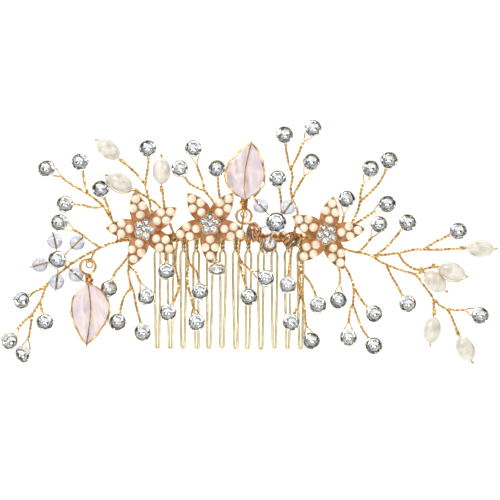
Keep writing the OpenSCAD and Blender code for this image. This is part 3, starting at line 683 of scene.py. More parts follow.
def matte_backdrop():
    """Unglazed white paper sweep: flat, with a tooth that only a close look shows."""
    material, tree, shader, place = new_finish("paper_backdrop", {"Roughness": 0.9})
    two_tones(tree, shader, place, 60 * MM, srgb("#FBFBFA"), srgb("#F6F6F4"), 0.4, 0.7)
    dents(tree, shader, place, 1.5 * MM, 0.05 * MM, 0.1)
    return material


def black_flag():
    """Black flocked card, so that facets and wires have something dark to reflect."""
    material, tree, shader, place = new_finish("black_flag", {"Roughness": 1.0, "Specular IOR Level": 0.0})
    two_tones(tree, shader, place, 20 * MM, srgb("#050505"), srgb("#0B0B0B"))
    return material


def finish(name):
    """A material by name, made the first time it is asked for."""
    colours = bpy.context.scene.haircomb_finish
    makers = {
        "gold_plated_wire": lambda: gold_plated_wire(colours),
        "painted_shade_gold_wire": lambda: painted_shade_wire(colours),
        "plated_tine_wire": lambda: tine_wire(colours),
        "silver_gilt_cup": lambda: silver_gilt(colours),
        "silver_foil": lambda: mirror_foil(colours),
        "rhinestone_glass": lambda: cut_glass("rhinestone_glass", "#FFFFFF", "#EEF2F6", 2.5 * MM, 1.56),
        "bead_glass": lambda: cut_glass("bead_glass", "#DDDEE6", "#9A9DAE", 0.8 * MM, 1.62),
        "painted_reflection_petal": lambda: petal_painted_reflection(colours),
        "ivory_glass_pearl": lambda: glass_pearl(colours),
        "freshwater_nacre": lambda: river_nacre(colours),
        "pink_leaf_enamel": lambda: leaf_resin(colours),
        "paper_backdrop": matte_backdrop,
        "black_flag": black_flag,
    }
    return bpy.data.materials.get(name) or makers[name]()


# ---- Stones and their cups ----


def brilliant(diameter, folds=8):
    """A cut stone facing +Z with its girdle at the origin: table, crown facets, girdle and pavilion."""
    bm = bmesh.new()
    facet(bm, BRILLIANT, folds, diameter)
    foiled = -0.3
    for face in bm.faces:
        face.material_index = 1 if face.normal.z < foiled else 0
    return to_mesh(bm, "brilliant", shaded_smooth=False)


def cup(diameter, wall, depth, prongs=4):
    """A stone's cup facing +Z with the girdle at the origin: rolled rim, foiled seat and small prongs."""
    bm = bmesh.new()
    inner = diameter / 2 + SEAT_GAP
    rim, flare = 0.06 * diameter, 0.1 * diameter
    base_r, base_edge_r, base_edge = 0.34 * diameter, 0.37 * diameter, 0.96 * depth
    culet_r, seat = 0.06 * diameter, -PAVILION * diameter - SEAT_GAP
    roll = [math.radians(a) for a in range(0, 181, 30)]
    lip = [(inner + wall / 2 * (1 + math.cos(a)), rim + wall / 2 * math.sin(a)) for a in roll]
    spin_profile(bm, [
        (0, -depth), (base_r, -depth), (base_edge_r, -base_edge), (inner + wall, -flare), *lip,
        (inner, -SEAT_GAP), (culet_r, seat), (0, seat)], 28)
    for face in bm.faces:
        face.smooth = True
        centre = face.calc_center_median()
        within = Vector((centre.x, centre.y)).length < inner * 0.99
        face.material_index = 1 if within and centre.z > -PAVILION * diameter * 1.1 else 0
    prong_r = 0.75 * wall
    for k in range(prongs):
        a = math.tau * (k + 0.5) / prongs
        out = Vector((math.cos(a), math.sin(a), 0)) * (inner + 0.1 * wall)
        add_ball(bm, out + Vector((0, 0, rim + 0.3 * wall)), prong_r, (1, 1, 0.7), fine=1)
    return to_mesh(bm, "cup")


def stone_places(twigs, rng):
    """Where each stone of a group of twigs sits: at its wire's end, a little askew as if set by hand."""
    ahead = (STONE_CULET * bpy.context.scene.haircomb_jewels.stone_d + 2 * SEAT_GAP + STEM_R) / MM
    for _, end_lift, carries, route in twigs:
        if carries == "stone":
            askew = (rng.uniform(-ASKEW, ASKEW), rng.uniform(-ASKEW, ASKEW))
            back, sideways = (math.radians(a) for a in LEANING.get(route[-1], askew))
            lean = Matrix.Rotation(back, 4, "X") @ Matrix.Rotation(sideways, 4, "Y")
            turn = Matrix.Rotation(rng.uniform(0, math.tau), 4, "Z")
            yield facing_front(spot(*route[-1], end_lift + ahead)) @ lean @ turn


def stem_paths(twigs, sizes, jewels, rng):
    """The wires of a group of twigs. They part where they meet a stone's cup, some in a wide loop."""
    paths = []
    for start_lift, end_lift, carries, points in twigs:
        last = len(points) - 1
        rise = (end_lift - start_lift) / last
        lifted = [spot(x, z, start_lift + rise * i) for i, (x, z) in enumerate(points)]
        route = smooth(lifted, STEM_STEP)
        open_from, open_r = None, 0.0
        if carries == "stone":
            before, wide = LOOPED_END if rng.random() < LOOPED_SHARE else PLAIN_END
            open_from = travelled(route)[-1] - jewels.stone_d * before
            open_r = jewels.stone_d * wide
        paths += twisted(route, sizes.strand_d * STRAND_SPREAD, sizes.twist_pitch, open_from, open_r)
    return paths


# ---- Operators, one for each piece or group of like pieces ----


class HAIRCOMB_OT_stage(bpy.types.Operator):
    """Set a pale paper sweep, soft lights and the camera"""

    bl_idname = "haircomb.stage"
    bl_label = "Stage"

    def sweep(self, context):
        """The paper, flat under the comb and bent up into a wall behind it."""
        bm = bmesh.new()
        reach, floor_z, wall_start, bend_r = 1.6, -0.1, 0.7, 0.3
        bend = [math.radians(10 * k) for k in range(10)]
        profile = [(-reach, floor_z)]
        profile += [
            (wall_start + bend_r * math.sin(a), floor_z + bend_r * (1 - math.cos(a))) for a in bend]
        profile.append((wall_start + bend_r, reach))
        corners = [bm.verts.new((-reach, y, z)) for y, z in profile]
        edges = [bm.edges.new(pair) for pair in zip(corners, corners[1:])]
        made = bmesh.ops.extrude_edge_only(bm, edges=edges)
        swept = [v for v in made["geom"] if isinstance(v, bmesh.types.BMVert)]
        bmesh.ops.translate(bm, verts=swept, vec=(2 * reach, 0, 0))
        bmesh.ops.recalc_face_normals(bm, faces=bm.faces)
        if sum(face.normal.z for face in bm.faces) < 0:
            bmesh.ops.reverse_faces(bm, faces=bm.faces)
        mesh = to_mesh(bm, "floor", shaded_smooth=True)
        mesh.materials.append(finish("paper_backdrop"))
        floor = bpy.data.objects.new("floor", mesh)
        context.scene.collection.objects.link(floor)

    def studio(self, context):
        """A room of pale and dark panels to reflect, white where the camera sees it."""
        world = bpy.data.worlds.new("studio")
        context.scene.world = world
        world.use_nodes = True
        tree = world.node_tree
        soft = tree.nodes["Background"]
        around = add_node(tree, "ShaderNodeTexCoord").outputs["Generated"]
        patches = add_node(tree, "ShaderNodeTexNoise", {"Scale": 9.0, "Detail": 1.0}, {"Vector": around})
        panels = add_node(tree, "ShaderNodeValToRGB", links={"Fac": patches.outputs["Fac"]},
                          stops=[(0.47, srgb("#0A0A0C")), (0.49, srgb("#FFFFFF"))])
        tree.links.new(panels.outputs["Color"], soft.inputs["Color"])
        soft.inputs["Strength"].default_value = 0.8
        seen = add_node(tree, "ShaderNodeBackground", {"Color": (1, 1, 1, 1), "Strength": 1.0})
        ray = add_node(tree, "ShaderNodeLightPath")
        pick = add_node(tree, "ShaderNodeMixShader", links={"Fac": ray.outputs["Is Camera Ray"]})
        tree.links.new(soft.outputs["Background"], pick.inputs[1])
        tree.links.new(seen.outputs["Background"], pick.inputs[2])
        tree.links.new(pick.outputs["Shader"], tree.nodes["World Output"].inputs["Surface"])

    def lamps(self, context):
        """Soft lamps round the comb, and one that lights the paper behind it: place, sides and watts."""
        wall = Vector((0, 1.0, 0.1))
        for name, place, width, height, watts, lit in [
            ("key_softbox", (-0.4, -0.55, 0.55), 0.24, 0.24, 4.6, AIM),
            ("fill_softbox", (0.6, -0.5, 0.25), 0.14, 0.4, 1.4, AIM),
            ("low_strip", (0.05, -0.75, -0.08), 0.7, 0.05, 0.4, AIM),
            ("top_softbox", (0.0, 0.15, 0.7), 0.8, 0.2, 1.6, AIM),
            ("backdrop_wash", (0.0, 0.3, 0.6), 1.6, 0.3, 7.0, wall),
        ]:
            light = bpy.data.lights.new(name, "AREA")
            light.shape = "RECTANGLE"
            light.size = width
            light.size_y = height
            light.energy = watts
            lamp = bpy.data.objects.new(name, light)
            lamp.location = place
            lamp.rotation_euler = (lit - Vector(place)).to_track_quat("-Z", "Y").to_euler()
            lamp.visible_camera = False
            context.scene.collection.objects.link(lamp)

    def flags(self, context):
        """Black cards behind the camera and beside the comb: place and sides."""
        for name, place, width, height in [
            ("lens_flag", (0.006, -0.62, 0.02), 0.1, 0.08),
            ("left_flag", (-0.42, -0.3, 0.02), 0.16, 0.5),
            ("right_flag", (0.4, -0.25, -0.02), 0.14, 0.5),
        ]:
            bm = bmesh.new()
            bmesh.ops.create_grid(bm, x_segments=1, y_segments=1, size=0.5,
                                  matrix=along(Vector(place), AIM - Vector(place))
                                  @ Matrix.Diagonal((width, height, 1, 1)))
            card = bpy.data.objects.new(name, to_mesh(bm, name, shaded_smooth=False))
            card.data.materials.append(finish("black_flag"))
            card.visible_camera = False
            card.visible_shadow = False
            context.scene.collection.objects.link(card)

    def camera(self, context):
        """A long lens square to the comb's front."""
        lens = bpy.data.cameras.new("camera")
        lens.lens = 100
        lens.sensor_width = 36
        lens.clip_start = 0.01
        camera = bpy.data.objects.new("camera", lens)
        camera.location = (0.0063, -0.4167, -0.0036)
        camera.rotation_euler = (math.radians(90), 0, 0)
        context.scene.collection.objects.link(camera)
        context.scene.camera = camera
        context.scene.view_settings.view_transform = "Standard"

    def execute(self, context):
        self.sweep(context)
        self.studio(context)
        self.lamps(context)
        self.flags(context)
        self.camera(context)
        return {"FINISHED"}


class HAIRCOMB_OT_tines(bpy.types.Operator):
    """Bend the twelve hairpin tines round the spine"""

    bl_idname = "haircomb.tines"
    bl_label = "Tines"

    def leg(self, sizes, front):
        """Half a hairpin, from its wrap over the spine down to the turn at its tip. front is 1 or -1."""
        wire_r = sizes.tine_d / 2
        hold = SPINE_R + wire_r
        neck_r = wire_r * 1.02
        neck_top, neck_end = -1.1 * MM, -4.0 * MM
        aside, slant = 0.2 * MM, 0.35 * MM
        wrap = [math.radians(a) for a in range(120, -61, -20)]
        path = [Vector((-front * (aside + slant * math.cos(a)), -front * hold * math.cos(a),
                        hold * math.sin(a))) for a in wrap]
        steps = 20
        for k in range(steps + 1):
            s = k / steps
            a = math.radians(-90 - 450 * s)
            spin = Vector((math.cos(a), math.sin(a), 0)) * neck_r * front
            path.append(spin + Vector((0, 0, neck_top + (neck_end - neck_top) * s)))
        shoulder = sizes.tine_gap / 2
        tip = wire_r + 0.1 * MM
        path += [Vector((-front * x, 0, z)) for x, z in [
            (0.8 * shoulder, -4.5 * MM), (shoulder, -5.2 * MM), (shoulder, -7 * MM),
            (0.9 * shoulder, -0.4 * TINE_LEN), (tip + 0.5 * (shoulder - tip), -0.6 * TINE_LEN),
            (tip + 0.15 * (shoulder - tip), -0.85 * TINE_LEN), (tip, tip + wire_r - TINE_LEN),
            (0.71 * tip, 0.29 * tip + wire_r - TINE_LEN)]]
        return path

    def execute(self, context):
        sizes = context.scene.haircomb_wire
        rng = random.Random(SEED)
        bm = bmesh.new()
        left, right = self.leg(sizes, 1), self.leg(sizes, -1)
        turn = [Vector((0, 0, sizes.tine_d / 2 - TINE_LEN))]
        for i in range(TINE_COUNT):
            x = i * TINE_PITCH - COMB_HALF
            lean, bow, low = (rng.uniform(-0.25, 0.25) * MM for _ in range(3))
            path = []
            for p in smooth(left + turn + right[::-1], 0.9 * MM):
                down = min(max(-p.z / TINE_LEN, 0), 1)
                sway = lean * down + bow * math.sin(math.pi * down)
                path.append(p + Vector((x + sway, 0, low * 0.6 * down)))
            add_wires(bm, [path], sizes.tine_d / 2, sides_more=3)
        show("hairpin_tines", bm, "comb", [finish("plated_tine_wire")], ["comb_tines"])
        return {"FINISHED"}


class HAIRCOMB_OT_binding(bpy.types.Operator):
    """Wrap the spine and tie the flowers to it"""

    bl_idname = "haircomb.binding"
    bl_label = "Spine and binding"

    def wraps(self, sizes, rng):
        """Close turns on the bare spine: between the tines and out to its ends."""
        r = SPINE_R + sizes.binding_d / 2
        paths = []
        low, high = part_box("comb_spine")
        ends = [(low.x + 0.3 * MM, -COMB_HALF - 1.2 * MM), (COMB_HALF + 1.2 * MM, high.x - 0.3 * MM)]
        middles = [(i + 0.5) * TINE_PITCH - COMB_HALF for i in range(TINE_COUNT - 1)]
        gaps = [(x - WRAP_HALF, x + WRAP_HALF) for x in middles]
        for start, end in ends + gaps:
            turns = max(3, round((end - start) / (sizes.binding_d * 1.15)))
            first = Vector((0, math.cos(rng.uniform(0, 6)), math.sin(rng.uniform(0, 6))))
            paths.append(coil(
                Vector((start, 0, 0)), (1, 0, 0), first, turns, (end - start) / turns, (r, r), rng))
        return paths

    def bundles(self, sizes, rng):
        """Loose, crossing turns over the stems gathered on the spine."""
        paths = []
        for start, end, turns, depth, height in BUNDLES:
            for hand in (1, -1):
                middle = Vector((start if hand > 0 else end, 0.2 - depth / 2, 0)) * MM
                count = turns if hand > 0 else turns * 0.6
                rise = hand * (end - start) * MM / count
                paths.append(coil(middle, (1, 0, 0), (0, 0.3, 1), count, rise,
                                  (height * MM, (depth / 2 + 0.7) * MM), rng))
        return paths

    def ties(self, sizes, rng):
        """A short coil behind each flower, and the wires from it to the spine."""
        paths = []
        for x, z, _ in FLOWERS.values():
            back = spot(x, z, PETAL_BACK + 0.2)
            paths.append(coil(spot(x, z, 1.0), (0, -1, 0), (1, 0, 0), 5, 0.44 * MM, (0.6 * MM, 0.6 * MM)))
            for side in (-0.8, 0, 0.8):
                foot = Vector((back.x + side * 1.6 * MM, -SPINE_R - 0.2 * MM, 0))
                bend = (foot + back) / 2 + Vector((side * 0.5 * MM, 0.3 * MM, 0))
                paths.append(smooth([foot, bend, back + Vector((side * 0.4 * MM, 0, 0))], 0.5 * MM))
        return paths

    def execute(self, context):
        sizes = context.scene.haircomb_wire
        rng = random.Random(SEED + 1)
        bm = bmesh.new()
        add_wires(bm, self.wraps(sizes, rng) + self.ties(sizes, rng), sizes.binding_d / 2)
        # The dense bundles take the deeper orange wire: painted shade where the turns crowd together
        add_wires(bm, self.bundles(sizes, rng), sizes.binding_d / 2, material=1)
        show("binding_wraps", bm, "comb",
             [finish("gold_plated_wire"), finish("painted_shade_gold_wire")], ["binding_wire"])
        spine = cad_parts["comb_spine"]
        for slot in spine.material_slots:
            slot.link = "OBJECT"
            slot.material = finish("gold_plated_wire")
        return {"FINISHED"}


class HAIRCOMB_OT_stems(bpy.types.Operator):
    """Twist the stems of every sprig from pairs of wires"""

    bl_idname = "haircomb.stems"
    bl_label = "Twisted stems"

    def execute(self, context):
        sizes = context.scene.haircomb_wire
        for i, (group, twigs) in enumerate(TWIGS.items()):
            bm = bmesh.new()
            rng = random.Random(SEED + 10 + i)
            paths = stem_paths(twigs, sizes, context.scene.haircomb_jewels, rng)
            add_wires(bm, paths, sizes.strand_d / 2, sides_more=1)
            show(f"{group}_twisted_stems", bm, "comb", [finish("gold_plated_wire")],
                 [f"{group}_stems"])
        return {"FINISHED"}


class HAIRCOMB_OT_rhinestones(bpy.types.Operator):
    """Set a cut stone in a foiled cup on the end of each stem"""

    bl_idname = "haircomb.rhinestones"
    bl_label = "Rhinestones"

    def execute(self, context):
        jewels = context.scene.haircomb_jewels
        stone = brilliant(jewels.stone_d)
        holder = cup(jewels.stone_d, jewels.setting_wall, jewels.setting_depth)
        metals = [finish("silver_gilt_cup"), finish("silver_foil")]
        glass = [finish("rhinestone_glass"), finish("silver_foil")]
        for i, (group, twigs) in enumerate(TWIGS.items()):
            places = list(stone_places(twigs, random.Random(SEED + 20 + i)))
            cups, cuts = bmesh.new(), bmesh.new()
            add_copies(cups, holder, places)
            add_copies(cuts, stone, places)
            show(f"{group}_cups", cups, "comb", metals, [f"{group}_settings"])
            show(f"{group}_cut_stones", cuts, "comb", glass, [f"{group}_stones"])
        return {"FINISHED"}


class HAIRCOMB_OT_flowers(bpy.types.Operator):
    """Press the three flowers, set their pearls and their stone centres"""

    bl_idname = "haircomb.flowers"
    bl_label = "Flowers"

    def petal(self, jewels):
        """One pointed, cupped petal along +X from the flower's centre, with its rolled gilt edge."""
        bm = bmesh.new()
        length, width = jewels.petal_len, jewels.petal_w
        floor, rim = 0.45 * MM, jewels.petal_rim_h
        bmesh.ops.create_grid(bm, x_segments=20, y_segments=12, size=0.5)
        edge_points = {-1: [], 1: []}
        for vert in sorted(bm.verts, key=lambda v: v.co.x):
            t, v = vert.co.x + 0.5, vert.co.y * 2
            half = width / 2 * math.sin(math.pi * t ** 0.85) ** 0.8 if 0 < t < 1 else 0
            cupped = max(abs(v), abs(2 * t - 1) ** 5) ** 2.6
            lift = floor + (rim - floor) * cupped + 0.35 * MM * t ** 3
            vert.co = Vector((PETAL_START + (length - PETAL_START) * t, half * v, lift))
            if abs(abs(v) - 1) < 1e-4:
                edge_points[round(v)].append(vert.co.copy())
        bmesh.ops.remove_doubles(bm, verts=bm.verts, dist=1e-5)
        bmesh.ops.recalc_face_normals(bm, faces=bm.faces)
        if sum(face.normal.z for face in bm.faces) < 0:
            bmesh.ops.reverse_faces(bm, faces=bm.faces)
        # The inner, cupped faces take the orange of painted reflection; the back and sides stay gold
        painted_inside = set(bm.faces)
        bmesh.ops.solidify(bm, geom=list(bm.faces), thickness=0.3 * MM)
        for face in bm.faces:
            face.smooth = True
            face.material_index = 1 if face in painted_inside else 0
        outline = edge_points[-1] + edge_points[1][-2:0:-1]
        add_wires(bm, [outline], 0.2 * MM, sides_more=1, closed=True)
        return to_mesh(bm, "petal")

    def execute(self, context):
        jewels = context.scene.haircomb_jewels
        petal = self.petal(jewels)
        small_cup = cup(jewels.centre_stone_d, 0.16 * MM, 1.1 * MM)
        small_stone = brilliant(jewels.centre_stone_d)
        seed_lift = 0.5 * MM + jewels.seed_d / 2
        ring_r = jewels.centre_stone_d * 1.12
        girdle = seed_lift + 1.6 * MM
        post_low, post_h = 0.5 * MM, girdle - 1.3 * MM
        spots = [Matrix.Translation((0, 0, girdle + 0.25 * MM))] + [
            Matrix.Rotation(math.radians(a + 36), 4, "Z") @ Matrix.Translation((ring_r, 0, girdle))
            @ Matrix.Rotation(math.radians(12), 4, "Y") for a in PETAL_ANGLES]
        for i, (name, (x, z, turn)) in enumerate(FLOWERS.items()):
            rng = random.Random(SEED + 30 + i)
            at = facing_front(spot(x, z, PETAL_BACK), turn)
            petals, pearls, centre, stones = (bmesh.new() for _ in range(4))
            around = [at @ Matrix.Rotation(math.radians(a), 4, "Z") for a in PETAL_ANGLES]
            add_copies(petals, petal, around)
            for place in around:
                for out, side in SEED_SEATS:
                    r = jewels.seed_d / 2 * rng.uniform(0.95, 1.0)
                    seat = place @ Matrix.Translation((out * MM, side * MM, seed_lift))
                    squash = Matrix.Diagonal((1, 1, rng.uniform(0.95, 1.0), 1))
                    made = bmesh.ops.create_uvsphere(
                        pearls, u_segments=20, v_segments=12, radius=r, matrix=seat @ squash)
                    bmesh.ops.smooth_vert(pearls, verts=made["verts"], factor=0.1, use_axis_z=True)
                    foot = seat @ Vector((0, 0, -jewels.seed_d * 0.34))
                    ring = coil(foot, at.to_3x3() @ Vector((0, 0, 1)), at.to_3x3() @ Vector((1, 0, 0)),
                                1, 0, (0.98 * MM, 0.98 * MM), per_turn=16)
                    add_wires(pearls, [ring[:-1]], 0.16 * MM, sides_more=0, closed=True, material=1)
            for face in pearls.faces:
                face.smooth = True
            add_copies(centre, small_cup, [at @ s for s in spots])
            post = at @ Matrix.Translation((0, 0, post_low + post_h / 2))
            bmesh.ops.create_cone(centre, cap_ends=True, segments=20, radius1=1.5 * MM, radius2=1.1 * MM,
                                  depth=post_h, matrix=post)
            add_copies(stones, small_stone, [at @ s for s in spots])
            node = f"flower_{name}"
            show(f"{node}_pressed_petals", petals, "comb",
                 [finish("gold_plated_wire"), finish("painted_reflection_petal")], [f"{node}_petals"],
                 crease=60)
            show(f"{node}_ivory_pearls", pearls, "comb",
                 [finish("ivory_glass_pearl"), finish("gold_plated_wire")], [f"{node}_pearls"])
            show(f"{node}_centre_cups", centre, "comb",
                 [finish("silver_gilt_cup"), finish("silver_foil")], [f"{node}_centre"])
            show(f"{node}_centre_stones", stones, "comb",
                 [finish("rhinestone_glass"), finish("silver_foil")], [f"{node}_stones"])
        return {"FINISHED"}


class HAIRCOMB_OT_rice_pearls(bpy.types.Operator):
    """Thread the eight rice pearls on their wires"""

    bl_idname = "haircomb.rice_pearls"
    bl_label = "Rice pearls"

    def pearl(self, jewels, wire, rng):
        """A rice pearl along +Z from the stem's end, drilled through, uneven as river pearls are."""
        bm = bmesh.new()
        half, r, hole = jewels.rice_len / 2, jewels.rice_d / 2, wire.fine_d / 2 + 0.1 * MM
        first = math.asin(hole / r)
        angles = [first + (math.pi - 2 * first) * k / 18 for k in range(19)]
        skin = [(r * math.sin(a), RICE_START + half * (1 - math.cos(a))) for a in angles]
        bore = [(hole, skin[-1][1] - 0.1 * MM), (hole, skin[0][1] + 0.1 * MM)]
        spin_profile(bm, [*skin, *bore, skin[0]], 36)
        phase, bands = rng.uniform(0, 6), rng.uniform(0.9, 1.5)
        for vert in bm.verts:
            around = Vector((vert.co.x, vert.co.y, 0))
            if around.length > 2 * hole:
                far = (vert.co.z - RICE_START) / half
                dip = 0.008 * math.sin(bands * math.pi * far + phase) + 0.006 * math.sin(
                    2 * math.atan2(vert.co.y, vert.co.x) + phase)
                vert.co -= around * abs(dip)
        for face in bm.faces:
            face.smooth = True
        return bm

    def execute(self, context):
        jewels, wire = context.scene.haircomb_jewels, context.scene.haircomb_wire
        wires = bmesh.new()
        for i, (x, z, lift, angle) in enumerate(RICE_PEARLS, 1):
            rng = random.Random(SEED + 40 + i)
            ahead = Vector((math.cos(math.radians(angle)), 0, math.sin(math.radians(angle))))
            start = spot(x, z, lift)
            place = along(start, ahead)
            bm = self.pearl(jewels, wire, rng)
            bmesh.ops.transform(bm, matrix=place, verts=bm.verts)
            show(f"nacre_rice_pearl_{i}", bm, f"rice_pearl_{i}",
                 [finish("freshwater_nacre")], [f"rice_pearl_{i}"])
            end = RICE_START + jewels.rice_len + 0.45 * MM
            side = ahead.cross(Vector((0, 1, 0))) * RETURN_SIDES.get(i, 1)
            path = [start - ahead * 1.6 * MM, start + ahead * end]
            if i in RETURN_SIDES:
                half, out = jewels.rice_len / 2, jewels.rice_d / 2 + 0.32 * MM
                path.append(start + ahead * (end + 0.35 * MM) + side * 0.35 * MM)
                for k in range(1, 10):
                    a = math.radians(15 + 16.5 * k)
                    path.append(start + ahead * (RICE_START + half + half * 1.04 * math.cos(a))
                                + side * out * math.sin(a))
                path.append(start - ahead * 0.3 * MM + side * 0.25 * MM)
            else:
                curl = start + ahead * (end + 0.1 * MM)
                path += [curl + side * 0.3 * MM + ahead * 0.2 * MM, curl + side * 0.5 * MM]
            add_wires(wires, [smooth(path, 0.4 * MM)], wire.fine_d / 2, sides_more=1)
            add_wires(wires, [coil(start - ahead * 1.8 * MM, ahead, side, 4, 0.42 * MM,
                                   (0.5 * MM, 0.5 * MM), per_turn=12)], wire.fine_d / 2, sides_more=1)
            add_ball(wires, start + ahead * end, wire.fine_d * 0.95)
        show("rice_pearl_bent_wires", wires, "comb", [finish("gold_plated_wire")],
             ["rice_pearl_wires"])
        return {"FINISHED"}


class HAIRCOMB_OT_leaves(bpy.types.Operator):
    """Make the two enamelled leaf charms"""

    bl_idname = "haircomb.leaves"
    bl_label = "Leaf charms"

    def half_width(self, t, width):
        """Half of the leaf's width at a share of its length: full near its base, pointed at its tip."""
        return width / 2 * math.sin(math.pi * t ** 0.78) ** 0.85 if 0 < t < 1 else 0.0

    def bend(self, t, length):
        """How far the midrib wanders sideways at a share of the leaf's length."""
        return 0.045 * length * math.sin(math.pi * t * 1.15)

    def surface(self, t, v, length, width):
        """A point of the leaf's skin: domed halves that meet in a crease at the midrib, and side veins."""
        half = self.half_width(t, width)
        dome = 0.75 * MM * math.sin(math.pi * min(abs(v), 1)) * math.sin(math.pi * t) ** 0.5
        vein = 0.1 * MM * math.sin(26 * (t - 0.35 * abs(v))) * abs(v) * (1 - abs(v)) * 4
        curl = 0.9 * MM * (abs(v) ** 2) * math.sin(math.pi * t) - 0.4 * MM
        ripple = 0.22 * MM * math.sin(19 * t + 2.5 * v) * abs(v) ** 3
        rise = dome + vein + curl * 0.5 + ripple
        return Vector((LEAF_NECK_END + length * t, half * v + self.bend(t, length), rise))

    def blade(self, length, width):
        """The enamel, a thin solid sheet."""
        bm = bmesh.new()
        bmesh.ops.create_grid(bm, x_segments=40, y_segments=24, size=0.5)
        for vert in bm.verts:
            t, v = vert.co.x + 0.5, vert.co.y * 2
            vert.co = self.surface(t, v * 0.97, length, width)
        bmesh.ops.remove_doubles(bm, verts=bm.verts, dist=1e-5)
        bmesh.ops.recalc_face_normals(bm, faces=bm.faces)
        bmesh.ops.solidify(bm, geom=list(bm.faces), thickness=0.45 * MM)
        for face in bm.faces:
            face.smooth = True
        return bm

    def edging(self, length, width, rng):
        """The wire round the leaf, its wavy outer lace and the raised midrib."""
        bm = bmesh.new()
        shares = [k / 36 for k in range(37)]
        sides = {side: [self.surface(t, side, length, width) for t in shares] for side in (-1, 1)}
        add_wires(bm, [sides[-1] + sides[1][-2:0:-1]], 0.24 * MM, sides_more=2, closed=True)
        lace = []
        for side in (-1, 1):
            path = []
            for k in range(3, 71):
                t = k / 72
                out = 0.38 * MM + 0.16 * MM * math.sin(31 * t + side) + rng.uniform(-0.03, 0.03) * MM
                path.append(self.surface(t, side, length, width) + Vector((0, side * out, -0.1 * MM)))
            lace.append(path)
        add_wires(bm, lace, 0.15 * MM, sides_more=1)
        rib = [self.surface(t, 0, length, width) + Vector((0, 0, 0.2 * MM)) for t in shares]
        add_wires(bm, [rib], 0.2 * MM, sides_more=2)
        tip = sides[1][-1]
        add_wires(bm, [[tip - Vector((0.6 * MM, 0, 0)), tip + Vector((0.8 * MM, -0.1 * MM, 0.1 * MM))]],
                  0.22 * MM, sides_more=1)
        return bm

    def ring(self, rng):
        """The double ring that hangs on the hook, and the knot of wire that binds it to the leaf."""
        bm = bmesh.new()
        # The inner ring, set back behind the outer one, takes the deeper orange wire (tone 1): painted
        # shade
        for eye_r, lift, tone in ((2.13 * MM, -0.12 * MM, 1), (2.42 * MM, 0.1 * MM, 0)):
            turn = coil(Vector((0, 0, lift)), (0, 0, 1), (1, 0, 0), 1, 0, (eye_r, eye_r), per_turn=48)
            add_wires(bm, [turn[:-1]], 0.27 * MM, sides_more=3, closed=True, material=tone)
        neck = Vector((2.2 * MM, 0, 0))
        knot = [coil(neck, (1, 0, 0), (0, 1, 0.2), 7, 0.4 * MM, (0.72 * MM, 0.62 * MM), rng)]
        knot.append(coil(neck + Vector((0.5 * MM, 0, 0)), (1, 0.35, 0), (0, 0, 1), 3, 0.7 * MM,
                         (0.85 * MM, 0.95 * MM), rng))
        knot.append(coil(neck + Vector((2.6 * MM, 0.3 * MM, 0)), (-1, 0.4, 0), (0, 0, 1), 3, 0.6 * MM,
                         (0.8 * MM, 1.0 * MM), rng))
        # The knot takes the deeper orange wire: painted shade in its crowded turns
        add_wires(bm, knot, 0.2 * MM, sides_more=1, material=1)
        return bm

    def execute(self, context):
        for i, (name, (x, z, lift, lean, length, width)) in enumerate(LEAVES.items()):
            rng = random.Random(SEED + 60 + i)
            place = facing_front(spot(x, z, lift), lean - 90)
            sheet = self.blade(length * MM, width * MM)
            edge = self.edging(length * MM, width * MM, rng)
            ring = self.ring(rng)
            for bm in (sheet, edge, ring):
                bmesh.ops.transform(bm, matrix=place, verts=bm.verts)
            show(f"{name}_blade", sheet, name, [finish("pink_leaf_enamel")],
                 [f"{name}_enamel"], crease=70)
            show(f"{name}_edging", edge, name, [finish("gold_plated_wire")],
                 [f"{name}_frame"])
            show(f"{name}_ring", ring, name,
                 [finish("gold_plated_wire"), finish("painted_shade_gold_wire")], [f"{name}_eye"])
        return {"FINISHED"}


